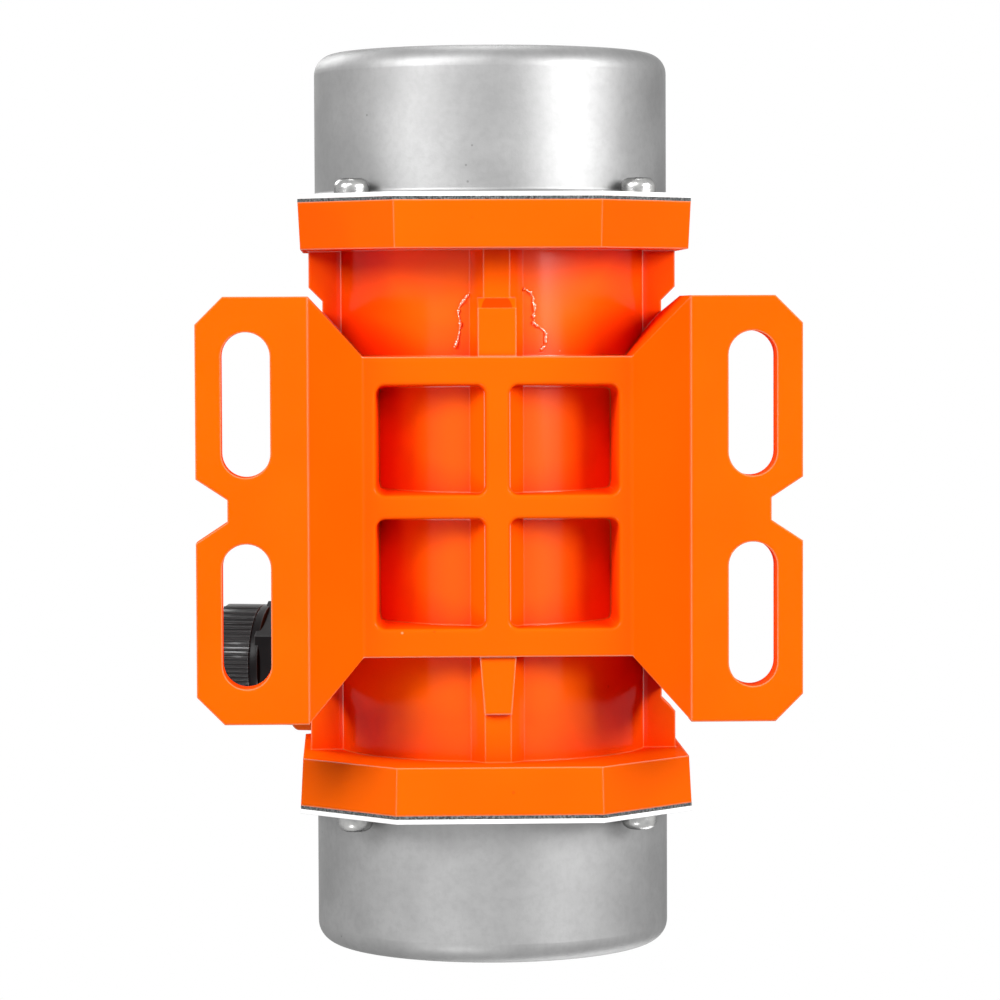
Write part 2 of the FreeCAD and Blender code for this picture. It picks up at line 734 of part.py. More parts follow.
def make_lid():
    """Lid of the terminal box: a flat rim with a raised middle, hollow underneath."""
    body = new_body("terminal_box_lid")
    rim = sketch_on(body, "XY_Plane", LID_SEAT)
    rounded_rectangle(rim, BOX_REAR, "box_front", "0 - box_half_width", "box_half_width", "box_corner")
    pad(body, rim, "lid_thickness")
    crown = sketch_on(body, "XY_Plane", f"{LID_SEAT} + lid_thickness")
    rounded_rectangle(crown, f"{BOX_REAR} + lid_crown_inset", "box_front - lid_crown_inset",
                      "lid_crown_inset - box_half_width", "box_half_width - lid_crown_inset", "box_corner")
    pad(body, crown, "lid_crown")
    top = number(f"{LID_SEAT} + lid_thickness + lid_crown")
    round_edges(body, "lid_crown_fillet", lambda edge: close(edge.BoundBox.ZMin, top))
    rim_top = number(f"{LID_SEAT} + lid_thickness")
    edge_reach = number("box_half_width - lid_crown_inset / 2")
    front_reach = number("box_front - lid_crown_inset / 2")
    rear_reach = number(f"{BOX_REAR} + lid_crown_inset / 2")

    def on_rim(edge):
        point = middle(edge)
        outside = abs(point.y) > edge_reach or point.x > front_reach or point.x < rear_reach
        return outside and close(edge.BoundBox.ZMin, rim_top) and close(edge.BoundBox.ZMax, rim_top)

    round_edges(body, "lid_edge_fillet", on_rim)
    hollow = sketch_on(body, "XY_Plane", LID_SEAT)
    rounded_rectangle(hollow, f"{BOX_REAR} + lid_crown_inset + box_wall", "box_front - lid_crown_inset - box_wall",
                      "lid_crown_inset + box_wall - box_half_width",
                      "box_half_width - lid_crown_inset - box_wall", "box_corner / 2")
    pocket(body, hollow, "lid_hollow", reverse=True)
    holes = sketch_on(body, "XY_Plane", LID_SEAT)
    lid_hole_circles(holes, "lid_screw_radius + screw_clearance")
    pocket(body, holes, "lid_thickness", reverse=True)
    return body


def lid_hole_circles(sketch, radius):
    for along in (PILLAR_FRONT, PILLAR_REAR):
        for side in ("", "0 - "):
            circle(sketch, radius, along, f"{side}( {PILLAR_SIDE} )")


def make_lid_gasket():
    body = new_body("lid_gasket")
    rim = sketch_on(body, "XY_Plane", "box_top")
    rounded_rectangle(rim, BOX_REAR, "box_front", "0 - box_half_width", "box_half_width", "box_corner")
    pad(body, rim, "lid_gasket_thickness")
    window = sketch_on(body, "XY_Plane", "box_top")
    rounded_rectangle(window, f"{BOX_REAR} + box_wall", "box_front - box_wall",
                      "box_wall - box_half_width", "box_half_width - box_wall", "box_corner - box_wall")
    pocket(body, window, "lid_gasket_thickness", reverse=True)
    lobes = sketch_on(body, "XY_Plane", "box_top")
    lid_hole_circles(lobes, "pillar_radius")
    pad(body, lobes, "lid_gasket_thickness")
    holes = sketch_on(body, "XY_Plane", "box_top")
    lid_hole_circles(holes, "lid_screw_radius + screw_clearance")
    pocket(body, holes, "lid_gasket_thickness", reverse=True)
    return body


def part_object(kind, label, **sizes):
    """A Part primitive whose sizes are bound to expressions."""
    item = doc.addObject(f"Part::{kind}", label)
    for name, expression in sizes.items():
        item.setExpression(name.replace("_", "."), sized(expression))
    return item


def pan_screw(name, radius, length, head_radius, head_height):
    """One pan-head cross screw standing on z = 0, its shank hanging below."""
    shank = part_object("Cylinder", f"{name}_shank", Radius=radius, Height=length,
                        Placement_Base_z=f"0 - ( {length} )")
    head = part_object("Cylinder", f"{name}_head", Radius=head_radius, Height=head_height)
    whole = doc.addObject("Part::Fuse", f"{name}_blank")
    whole.Base = shank
    whole.Tool = head
    doc.recompute()
    domed = doc.addObject("Part::Fillet", f"{name}_domed")
    domed.Base = whole
    top = number(head_height)
    bend = number(f"{head_height} * screw_dome_share")
    names = [index for index, edge in enumerate(whole.Shape.Edges, start=1)
             if close(edge.BoundBox.ZMin, top) and edge.Closed]
    domed.Edges = [(index, bend, bend) for index in names]
    arms = []
    for turn in (0, 90):
        arm = part_object("Box", f"{name}_arm{turn}", Length=f"{head_radius} * cross_arm_share",
                          Width=f"{head_radius} * cross_width_share", Height=head_height)
        half_long = number(f"{head_radius} * cross_arm_share / 2")
        half_wide = number(f"{head_radius} * cross_width_share / 2")
        floor = number(f"{head_height} * ( 1 - cross_depth_share )")
        corner = FreeCAD.Vector(-half_long, -half_wide, floor)
        turning = FreeCAD.Rotation(FreeCAD.Vector(0, 0, 1), turn)
        arm.Placement = FreeCAD.Placement(turning.multVec(corner), turning)
        arms.append(arm)
    cross = doc.addObject("Part::Fuse", f"{name}_cross")
    cross.Base = arms[0]
    cross.Tool = arms[1]
    screw = doc.addObject("Part::Cut", f"{name}_screw")
    screw.Base = domed
    screw.Tool = cross
    doc.recompute()
    return screw


def group_of(label, pattern, seats):
    """Copies of one fastener at a list of placements, as separate solids of one sub-part."""
    group = doc.addObject("Part::Feature", label)
    group.Label = label
    group.Shape = Part.makeCompound([pattern.Shape.transformed(seat.toMatrix()) for seat in seats])
    sub_parts.append(group)
    return group


def seat_along_x(across, up, along, turn=0):
    """A placement that turns a piece standing on z = 0 to stand outward along +X."""
    upright = FreeCAD.Rotation(FreeCAD.Vector(0, 1, 0), 90)
    twist = FreeCAD.Rotation(FreeCAD.Vector(1, 0, 0), turn)
    return FreeCAD.Placement(FreeCAD.Vector(along, across, up), twist.multiply(upright))


def make_lid_screws():
    screw = pan_screw("lid", "lid_screw_radius", "lid_screw_depth + lid_thickness + lid_gasket_thickness",
                      "lid_head_radius", "lid_head_height")
    top = number(f"{LID_SEAT} + lid_thickness")
    seats = []
    for index, (along, side) in enumerate(((PILLAR_FRONT, 1), (PILLAR_FRONT, -1), (PILLAR_REAR, 1), (PILLAR_REAR, -1))):
        place = FreeCAD.Vector(number(along), side * number(PILLAR_SIDE), top)
        seats.append(FreeCAD.Placement(place, FreeCAD.Rotation(FreeCAD.Vector(0, 0, 1), 25 + 50 * index)))
    group_of("lid_screws", screw, seats)


def make_terminal_block():
    """Moulded block with its studs, and the screws that hold it on its seat."""
    body = new_body("terminal_block")
    base = sketch_on(body, "XY_Plane", "seat_level")
    rectangle(base, "block_place - block_length / 2", "block_place + block_length / 2",
              "0 - block_width / 2", "block_width / 2")
    pad(body, base, "block_height")
    barriers = sketch_on(body, "XY_Plane", "seat_level + block_height")
    for side in ("", "0 - "):
        rectangle(barriers, "block_place - block_length / 2", "block_place + block_length / 2",
                  f"{side}( stud_pitch_across / 2 - barrier_half_width )",
                  f"{side}( stud_pitch_across / 2 + barrier_half_width )")
    pad(body, barriers, "barrier_height")
    holes = sketch_on(body, "XY_Plane", "seat_level + block_height")
    for along in ("block_place + stud_pitch_along / 2", "block_place - stud_pitch_along / 2"):
        for across in ("stud_pitch_across", "0", "0 - stud_pitch_across"):
            circle(holes, "stud_radius + thread_clearance", along, across)
    pocket(body, holes, "stud_sink")
    fixings = sketch_on(body, "XY_Plane", "seat_level")
    circle(fixings, "block_screw_radius + screw_clearance", "block_place", "block_screw_pitch / 2")
    circle(fixings, "block_screw_radius + screw_clearance", "block_place", "0 - block_screw_pitch / 2")
    pocket(body, fixings, "block_height", reverse=True)

    stud = part_object("Cylinder", "stud_rod", Radius="stud_radius", Height="stud_height + stud_sink",
                       Placement_Base_z="0 - stud_sink")
    nut = part_object("Prism", "stud_nut", Circumradius="stud_nut_size / hexagon_flat_ratio", Height="stud_nut_height")
    nut.Polygon = 6
    whole = doc.addObject("Part::Fuse", "stud_with_nut")
    whole.Base = stud
    whole.Tool = nut
    doc.recompute()
    top = number("seat_level + block_height")
    seats = []
    for along in (-0.5, 0.5):
        for across in (-1, 0, 1):
            place = FreeCAD.Vector(number("block_place") + along * number("stud_pitch_along"),
                                   across * number("stud_pitch_across"), top)
            seats.append(FreeCAD.Placement(place, FreeCAD.Rotation()))
    group_of("terminal_studs", whole, seats)

    screw = pan_screw("block", "block_screw_radius", "block_screw_length", "block_head_radius", "block_head_height")
    seats = []
    for side in (-0.5, 0.5):
        place = FreeCAD.Vector(number("block_place"), side * number("block_screw_pitch"), top)
        seats.append(FreeCAD.Placement(place, FreeCAD.Rotation()))
    group_of("block_screws", screw, seats)

    earth = pan_screw("earth_pattern", "stud_radius", "earth_screw_length", "cover_head_radius", "cover_head_height")
    seat = FreeCAD.Vector(number("earth_place"), number("earth_side"), number("seat_level"))
    group_of("earth_screw", earth, [FreeCAD.Placement(seat, FreeCAD.Rotation())])


def on_gland_line(body):
    """Seat a piece whose axis is X on the gland's axis, outward from the boss face."""
    lift = FreeCAD.Rotation(FreeCAD.Vector(1, 0, 0), -number("gland_tilt"))
    outward = FreeCAD.Rotation(FreeCAD.Vector(0, 0, 1), -90)
    place = FreeCAD.Vector(number(GLAND_PLACE), -number("gland_reach"), number("gland_height"))
    body.Placement = FreeCAD.Placement(place, lift.multiply(outward))


def make_gland():
    """Cable gland: sealing washer, threaded body with a hexagon, rubber seal and ridged dome nut."""
    washer = turned("gland_washer", [
        ("0", "gland_thread_radius"),
        ("0", "gland_hex_size / 2"),
        ("gland_washer_thickness", "gland_hex_size / 2"),
        ("gland_washer_thickness", "gland_thread_radius"),
    ])
    on_gland_line(washer)

    hex_end = "gland_washer_thickness + gland_hex_height"
    neck_end = "gland_nut_start + gland_neck_overlap"
    body = turned("gland_body", [
        ("0 - gland_thread_length", "gland_bore_radius"),
        ("0 - gland_thread_length", "gland_thread_radius"),
        ("gland_washer_thickness", "gland_thread_radius"),
        (hex_end, "gland_thread_radius"),
        (hex_end, "gland_neck_radius"),
        (neck_end, "gland_neck_radius"),
        (neck_end, "gland_bore_radius"),
    ])
    hexagon = sketch_on(body, "YZ_Plane", "gland_washer_thickness")
    corner = "gland_hex_size / hexagon_flat_ratio"
    outline(hexagon, [
        (corner, "0"),
        (f"{corner} / 2", "gland_hex_size / 2"),
        (f"0 - {corner} / 2", "gland_hex_size / 2"),
        (f"0 - {corner}", "0"),
        (f"0 - {corner} / 2", "0 - gland_hex_size / 2"),
        (f"{corner} / 2", "0 - gland_hex_size / 2"),
    ])
    circle(hexagon, "gland_bore_radius")
    pad(body, hexagon, "gland_hex_height")
    on_gland_line(body)

    nut_end = "gland_nut_start + gland_nut_length"
    seal = turned("gland_seal", [
        (neck_end, "gland_cable_radius"),
        (neck_end, "gland_neck_radius"),
        (f"{nut_end} - gland_mouth_lip", "gland_mouth_radius"),
        (f"{nut_end} - gland_mouth_lip", "gland_cable_radius"),
    ])
    on_gland_line(seal)

    nut = turned("gland_dome_nut", [
        ("gland_nut_start", "gland_neck_radius"),
        ("gland_nut_start", "gland_nut_radius - gland_nut_collar_step"),
        ("gland_nut_start + gland_nut_collar", "gland_nut_radius"),
        (f"{nut_end} - gland_nut_dome", "gland_nut_radius"),
        (nut_end, "gland_mouth_radius + gland_mouth_wall"),
        (nut_end, "gland_mouth_radius"),
        (f"{nut_end} - gland_mouth_lip", "gland_mouth_radius"),
        (neck_end, "gland_neck_radius"),
    ])
    on_gland_line(nut)


def make_cover(end):
    """Drawn weight cover: an octagonal flange plate and a deep cup in one pressing."""
    body = new_body(f"{end}_weight_cover")
    plate = sketch_on(body, "YZ_Plane", COVER_SEAT)
    octagon(plate, "0")
    pad(body, plate, "cover_wall")
    cup = sketch_on(body, "YZ_Plane", COVER_SEAT)
    circle(cup, "cover_radius")
    pad(body, cup, "cover_depth - cover_gasket_thickness")
    inside = sketch_on(body, "YZ_Plane", COVER_SEAT)
    circle(inside, "cover_radius - cover_wall")
    pocket(body, inside, "cover_depth - cover_gasket_thickness - cover_wall", reverse=True)
    inner_end = number(f"{FLANGE_FACE} + cover_depth - cover_wall")
    round_edges(body, "cover_end_fillet - cover_wall",
                lambda edge: close(edge.BoundBox.XMin, inner_end) and close(edge.BoundBox.XMax, inner_end))
    outer_end = number(f"{FLANGE_FACE} + cover_depth")
    round_edges(body, "cover_end_fillet", lambda edge: close(edge.BoundBox.XMin, outer_end))
    plate_top = number(COVER_PLATE_TOP)
    wall = number("cover_radius")

    def at_wall_foot(edge):
        box = edge.BoundBox
        return close(box.XMin, plate_top) and close(box.XMax, plate_top) and close(box.YMax, wall)

    round_edges(body, "cover_base_fillet", at_wall_foot)
    holes = sketch_on(body, "YZ_Plane", COVER_SEAT)
    corner_circles(holes, "cover_screw_radius + screw_clearance", COVER_SCREW_PLACE, "0")
    pocket(body, holes, "cover_wall", reverse=True)
    on_shaft_line(body, end)


def make_cover_gasket(end):
    body = new_body(f"{end}_cover_gasket")
    sheet_outline = sketch_on(body, "YZ_Plane", FLANGE_FACE)
    octagon(sheet_outline, "0")
    circle(sheet_outline, "cover_radius - cover_wall")
    corner_circles(sheet_outline, "cover_screw_radius + screw_clearance", COVER_SCREW_PLACE, "0")
    pad(body, sheet_outline, "cover_gasket_thickness")
    on_shaft_line(body, end)


def make_cover_screws(end, screw):
    place = number(COVER_SCREW_PLACE)
    along = number(COVER_PLATE_TOP)
    corners = ((place, place), (-place, place), (-place, -place), (place, -place))
    seats = [seat_along_x(across, up, along, 20 + 35 * index) for index, (across, up) in enumerate(corners)]
    on_shaft_line(group_of(f"{end}_cover_screws", screw, seats), end)


def make_bracket(end):
    """Bearing bracket: a disc on the flange, a spigot in the bore and a hub round the bearing."""
    inner = f"{FLANGE_FACE} - hub_depth"
    spigot = "bore_radius - spigot_clearance"
    disc = "cover_radius - cover_wall - bracket_clearance"
    groove = "bearing_outer_radius + circlip_depth"
    clip_end = f"{BEARING_OUTER} + circlip_thickness"
    body = turned(f"{end}_bearing_bracket", [
        (inner, "shaft_shoulder_radius + running_clearance"),
        (inner, "hub_radius"),
        (FLANGE_FACE, "hub_radius"),
        (FLANGE_FACE, f"{spigot} - spigot_wall"),
        (f"{FLANGE_FACE} - spigot_length", f"{spigot} - spigot_wall"),
        (f"{FLANGE_FACE} - spigot_length", spigot),
        (FLANGE_FACE, spigot),
        (FLANGE_FACE, disc),
        (BRACKET_TOP, disc),
        (BRACKET_TOP, "bearing_outer_radius"),
        (clip_end, "bearing_outer_radius"),
        (clip_end, groove),
        (BEARING_OUTER, groove),
        (BEARING_OUTER, "bearing_outer_radius"),
        (BEARING_INNER, "bearing_outer_radius"),
        (BEARING_INNER, "shaft_shoulder_radius + running_clearance"),
    ])
    holes = sketch_on(body, "YZ_Plane", FLANGE_FACE)
    circle(holes, "bracket_screw_radius + screw_clearance", "bracket_screw_circle")
    hole = pocket(body, holes, "bracket_thickness", reverse=True)
    repeat_round(body, [hole], "4")
    on_shaft_line(body, end)


def make_bracket_screws(end, screw):
    place = number("bracket_screw_circle")
    along = number(BRACKET_TOP)
    sides = ((place, 0), (0, place), (-place, 0), (0, -place))
    seats = [seat_along_x(across, up, along, 15 + 40 * index) for index, (across, up) in enumerate(sides)]
    on_shaft_line(group_of(f"{end}_bracket_screws", screw, seats), end)


def make_bearing(end):
    """Deep-groove ball bearing: two grooved rings, a cage and its balls."""
    bore, rim, wall = "bearing_bore_radius", "bearing_outer_radius", "bearing_ring_wall"
    for label, low, high in ((f"{end}_bearing_inner_ring", bore, f"{bore} + {wall}"),
                             (f"{end}_bearing_outer_ring", f"{rim} - {wall}", rim)):
        ring = turned(label, [(BEARING_INNER, low), (BEARING_INNER, high), (BEARING_OUTER, high), (BEARING_OUTER, low)])
        track = sketch_on(ring, "XZ_Plane")
        circle(track, "ball_radius + ball_clearance", BEARING_MIDDLE, BALL_CIRCLE)
        spin(ring, "Groove", track)
        on_shaft_line(ring, end)

    cage = turned(f"{end}_bearing_cage", [
        (f"{BEARING_MIDDLE} - cage_half_width", f"{BALL_CIRCLE} - cage_half_wall"),
        (f"{BEARING_MIDDLE} - cage_half_width", f"{BALL_CIRCLE} + cage_half_wall"),
        (f"{BEARING_MIDDLE} + cage_half_width", f"{BALL_CIRCLE} + cage_half_wall"),
        (f"{BEARING_MIDDLE} + cage_half_width", f"{BALL_CIRCLE} - cage_half_wall"),
    ])
    window = sketch_on(cage, "XY_Plane", "bearing_bore_radius")
    circle(window, "ball_radius + ball_clearance", BEARING_MIDDLE)
    opening = pocket(cage, window, "bearing_outer_radius - bearing_bore_radius", reverse=True)
    repeat_round(cage, [opening], "ball_count")
    on_shaft_line(cage, end)

    ball = part_object("Sphere", f"{end}_ball", Radius="ball_radius")
    doc.recompute()
    count = int(number("ball_count"))
    orbit = number(BALL_CIRCLE)
    along = number(BEARING_MIDDLE)
    seats = []
    for index in range(count):
        turn = 2 * math.pi * index / count
        place = FreeCAD.Vector(along, orbit * math.sin(turn), orbit * math.cos(turn))
        seats.append(FreeCAD.Placement(place, FreeCAD.Rotation()))
    on_shaft_line(group_of(f"{end}_bearing_balls", ball, seats), end)


def make_bearing_circlip(end):
    """Internal circlip in the bracket's groove, open at the top."""
    body = turned(f"{end}_bearing_circlip", [
        (BEARING_OUTER, "bearing_outer_radius + circlip_depth - circlip_reach"),
        (BEARING_OUTER, "bearing_outer_radius + circlip_depth"),
        (f"{BEARING_OUTER} + circlip_thickness", "bearing_outer_radius + circlip_depth"),
        (f"{BEARING_OUTER} + circlip_thickness", "bearing_outer_radius + circlip_depth - circlip_reach"),
    ])
    opening = sketch_on(body, "YZ_Plane", BEARING_OUTER)
    rectangle(opening, "0 - circlip_gap / 2", "circlip_gap / 2", "bearing_bore_radius",
              "bearing_outer_radius + circlip_reach")
    pocket(body, opening, "circlip_thickness", reverse=True)
    on_shaft_line(body, end)


def slot_corners(gap):
    """One stator slot seen along the shaft, shrunk by a gap for the winding that fills it."""
    mouth = f"slot_mouth / 2 - {gap}"
    inner = f"slot_inner_width / 2 - {gap}"
    outer = f"slot_outer_width / 2 - {gap}"
    low = f"stator_bore_radius + tooth_tip + {gap}"
    return mouth, inner, outer, low


def make_stator():
    rim = "bore_radius - stator_clearance"
    half = "core_length / 2"
    core = turned("stator_core", [
        (f"0 - {half}", "stator_bore_radius"), (f"0 - {half}", rim), (half, rim), (half, "stator_bore_radius"),
    ])
    mouth, inner, outer, low = slot_corners("0")
    slot = sketch_on(core, "YZ_Plane")
    outline(slot, [
        (mouth, "stator_bore_radius - tooth_tip"), (mouth, low), (inner, low), (outer, "slot_root_radius"),
        (f"0 - ( {outer} )", "slot_root_radius"), (f"0 - ( {inner} )", low), (f"0 - ( {mouth} )", low),
        (f"0 - ( {mouth} )", "stator_bore_radius - tooth_tip"),
    ])
    cut = pocket(core, slot, "core_length + 2 * slot_liner", both_ways=True)
    repeat_round(core, [cut], "stator_slots")
    on_shaft_line(core)

    start = "core_length / 2 + slot_liner"
    reach = "core_length / 2 + winding_reach"
    windings = turned("stator_windings", [
        (start, "winding_inner_radius"),
        (start, "slot_root_radius"),
        (f"{start} + winding_bevel", "winding_outer_radius"),
        (f"{reach} - winding_bevel", "winding_outer_radius"),
        (reach, "winding_outer_radius - winding_bevel"),
        (reach, "winding_inner_radius + winding_bevel"),
        (f"{reach} - winding_bevel", "winding_inner_radius"),
    ])
    turns = windings.Tip
    mirror(windings, [turns], "YZ_Plane")
    mouth, inner, outer, low = slot_corners("slot_liner")
    bar = sketch_on(windings, "YZ_Plane")
    outline(bar, [
        (inner, low), (outer, "slot_root_radius - slot_liner"),
        (f"0 - ( {outer} )", "slot_root_radius - slot_liner"), (f"0 - ( {inner} )", low),
    ])
    coil_side = pad(windings, bar, "core_length + 4 * slot_liner", both_ways=True)
    repeat_round(windings, [coil_side], "stator_slots")
    on_shaft_line(windings)


def make_rotor():
    """Rotor core on the shaft, with the end rings of its cage."""
    rim = "stator_bore_radius - air_gap"
    half = "core_length / 2"
    core = turned("rotor_core", [
        (f"0 - {half}", "shaft_core_radius + thread_clearance"), (f"0 - {half}", rim), (half, rim),
        (half, "shaft_core_radius + thread_clearance"),
    ])
    on_shaft_line(core)
    ring_end = f"{half} + rotor_ring_length"
    ring = turned("rotor_end_rings", [
        (half, f"{rim} - rotor_ring_wall"), (half, f"{rim} - air_gap"),
        (ring_end, f"{rim} - 2 * air_gap"), (ring_end, f"{rim} - rotor_ring_wall"),
    ])
    mirror(ring, [ring.Tip], "YZ_Plane")
    on_shaft_line(ring)

    core_end = f"{half} + shaft_core_spare"
    clip_low = "weight_seat_radius - shaft_clip_depth"
    half_profile = [
        (core_end, "shaft_core_radius"),
        (core_end, "shaft_shoulder_radius"),
        (BEARING_INNER, "shaft_shoulder_radius"),
        (BEARING_INNER, "bearing_bore_radius"),
        (WEIGHT_START, "bearing_bore_radius"),
        (WEIGHT_START, "weight_seat_radius"),
        (SHAFT_CLIP_START, "weight_seat_radius"),
        (SHAFT_CLIP_START, clip_low),
        (SHAFT_CLIP_END, clip_low),
        (SHAFT_CLIP_END, "weight_seat_radius"),
        (f"{SHAFT_END} - shaft_end_chamfer", "weight_seat_radius"),
        (SHAFT_END, "weight_seat_radius - shaft_end_chamfer"),
        (SHAFT_END, "0"),
    ]
    other_half = [(f"0 - ( {along} )", radius) for along, radius in reversed(half_profile)]
    shaft = turned("shaft", half_profile + other_half)
    keyway = sketch_on(shaft, "XY_Plane", "weight_seat_radius - key_sink")
    for low, high in key_spans():
        rectangle(keyway, low, high, "0 - key_width / 2", "key_width / 2")
    pocket(shaft, keyway, "key_sink + key_stand", reverse=True)
    on_shaft_line(shaft)


def key_spans():
    low = f"{WEIGHT_START} + weight_gap"
    high = f"{WEIGHT_START} + weight_thickness - weight_gap"
    return ((low, high), (f"0 - ( {high} )", f"0 - ( {low} )"))


def make_weight_key(end):
    body = new_body(f"{end}_weight_key")
    profile = sketch_on(body, "XY_Plane", "weight_seat_radius - key_sink")
    low, high = key_spans()[0]
    rectangle(profile, low, high, "0 - key_width / 2", "key_width / 2")
    pad(body, profile, "key_sink + key_stand")
    on_shaft_line(body, end)


def eccentric_blank(label, start):
    """A half-moon weight that hangs below the shaft, with its bore still to come."""
    body = new_body(label)
    moon = sketch_on(body, "YZ_Plane", start)
    radius = number("weight_radius")
    chord = number("weight_chord")
    tip = math.degrees(math.asin(chord / radius))
    rim = arc(moon, (0, 0), radius, 180 + tip, 360 - tip)
    reach = radius * math.cos(math.radians(tip))
    top = line(moon, (reach, -chord), (-reach, -chord))
    moon.addConstraint(Sketcher.Constraint("Coincident", rim, 3, -1, 1))
    moon.addConstraint(Sketcher.Constraint("Coincident", rim, 2, top, 1))
    moon.addConstraint(Sketcher.Constraint("Coincident", top, 2, rim, 1))
    size = moon.addConstraint(Sketcher.Constraint("Radius", rim, radius))
    moon.setExpression(f"Constraints[{size}]", sized("weight_radius"))
    moon.addConstraint(Sketcher.Constraint("Horizontal", top))
    hold(moon, "DistanceY", top, 1, "0 - weight_chord")
    pad(body, moon, "weight_thickness")
    return body


def make_fixed_weight(end):
    body = eccentric_blank(f"{end}_fixed_weight", WEIGHT_START)
    hub = sketch_on(body, "YZ_Plane", WEIGHT_START)
    circle(hub, "weight_hub_radius")
    pad(body, hub, "weight_thickness")
    bore = sketch_on(body, "YZ_Plane", WEIGHT_START)
    circle(bore, "weight_seat_radius + weight_bore_clearance")
    pocket(body, bore, "weight_thickness", reverse=True)
    keyway = sketch_on(body, "YZ_Plane", WEIGHT_START)
    rectangle(keyway, "0 - key_width / 2", "key_width / 2", "0", "weight_seat_radius + key_stand + key_clearance")
    pocket(body, keyway, "weight_thickness", reverse=True)
    on_shaft_line(body, end)


def make_adjustable_weight(end):
    """Outer weight: a split hub, closed on the shaft by a socket screw across the slit."""
    body = eccentric_blank(f"{end}_adjustable_weight", OUTER_WEIGHT_START)
    hub = sketch_on(body, "YZ_Plane", OUTER_WEIGHT_START)
    rectangle(hub, "0 - clamp_half_width", "clamp_half_width", "0 - weight_hub_radius", "clamp_height")
    pad(body, hub, "weight_thickness")
    bore = sketch_on(body, "YZ_Plane", OUTER_WEIGHT_START)
    circle(bore, "weight_seat_radius + weight_bore_clearance")
    pocket(body, bore, "weight_thickness", reverse=True)
    slit = sketch_on(body, "YZ_Plane", OUTER_WEIGHT_START)
    rectangle(slit, "0 - clamp_slit / 2", "clamp_slit / 2", "0", "clamp_height")
    pocket(body, slit, "weight_thickness", reverse=True)
    hole = sketch_on(body, "XZ_Plane")
    circle(hole, "clamp_screw_radius", f"{OUTER_WEIGHT_START} + weight_thickness / 2", "clamp_screw_level")
    pocket(body, hole, "2 * clamp_half_width", both_ways=True)
    on_shaft_line(body, end)


def make_clamp_screw(end):
    """Socket-head screw through the split hub, its head on the +Y side."""
    shank = part_object("Cylinder", f"{end}_clamp_shank", Radius="clamp_screw_radius", Height="2 * clamp_half_width")
    head = part_object("Cylinder", f"{end}_clamp_head", Radius="clamp_head_radius", Height="clamp_head_height",
                       Placement_Base_z="2 * clamp_half_width")
    blank = doc.addObject("Part::Fuse", f"{end}_clamp_blank")
    blank.Base = shank
    blank.Tool = head
    socket = part_object("Prism", f"{end}_clamp_socket", Circumradius="clamp_socket / hexagon_flat_ratio",
                         Height="clamp_head_height", Placement_Base_z="2 * clamp_half_width + clamp_head_height / 2")
    socket.Polygon = 6
    screw = doc.addObject("Part::Cut", f"{end}_clamp_cut")
    screw.Base = blank
    screw.Tool = socket
    doc.recompute()
    along = number(f"{OUTER_WEIGHT_START} + weight_thickness / 2")
    place = FreeCAD.Vector(along, -number("clamp_half_width"), number("clamp_screw_level"))
    seat = FreeCAD.Placement(place, FreeCAD.Rotation(FreeCAD.Vector(1, 0, 0), -90))
    on_shaft_line(group_of(f"{end}_clamp_screw", screw, [seat]), end)


def make_shaft_rings(end):
    """Spacer behind the weights, thrust washer and circlip in front of them."""
    spacer = turned(f"{end}_weight_spacer", [
        (BEARING_OUTER, "bearing_bore_radius + weight_bore_clearance"),
        (BEARING_OUTER, "spacer_radius"),
        (f"{WEIGHT_START} - weight_gap / 4", "spacer_radius"),
        (f"{WEIGHT_START} - weight_gap / 4", "bearing_bore_radius + weight_bore_clearance"),
    ])
    on_shaft_line(spacer, end)
    washer_start = f"{OUTER_WEIGHT_END} + weight_gap / 2"
    washer = turned(f"{end}_weight_washer", [
        (washer_start, "weight_seat_radius + weight_bore_clearance"),
        (washer_start, "spacer_radius"),
        (f"{washer_start} + washer_thickness", "spacer_radius"),
        (f"{washer_start} + washer_thickness", "weight_seat_radius + weight_bore_clearance"),
    ])
    on_shaft_line(washer, end)
    low = "weight_seat_radius - shaft_clip_depth"
    clip = turned(f"{end}_shaft_circlip", [
        (SHAFT_CLIP_START, low),
        (SHAFT_CLIP_START, f"{low} + shaft_clip_reach"),
        (SHAFT_CLIP_END, f"{low} + shaft_clip_reach"),
        (SHAFT_CLIP_END, low),
    ])
    opening = sketch_on(clip, "YZ_Plane", SHAFT_CLIP_START)
    rectangle(opening, "0 - shaft_clip_gap / 2", "shaft_clip_gap / 2", "weight_seat_radius / 2", "spacer_radius")
    pocket(clip, opening, "shaft_clip_thickness", reverse=True)
    on_shaft_line(clip, end)


make_housing()
make_lid_gasket()
make_lid()
make_lid_screws()
make_terminal_block()
make_gland()
make_stator()
make_rotor()
cover_screw = pan_screw("cover", "cover_screw_radius", "cover_screw_length", "cover_head_radius", "cover_head_height")
bracket_screw = pan_screw("bracket", "bracket_screw_radius", "bracket_screw_length",
                          "bracket_head_radius", "bracket_head_height")
for motor_end in ("front", "rear"):
    make_cover(motor_end)
    make_cover_gasket(motor_end)
    make_cover_screws(motor_end, cover_screw)
    make_bracket(motor_end)
    make_bracket_screws(motor_end, bracket_screw)
    make_bearing(motor_end)
    make_bearing_circlip(motor_end)
    make_fixed_weight(motor_end)
    make_weight_key(motor_end)
    make_adjustable_weight(motor_end)
    make_clamp_screw(motor_end)
    make_shaft_rings(motor_end)
doc.recompute()

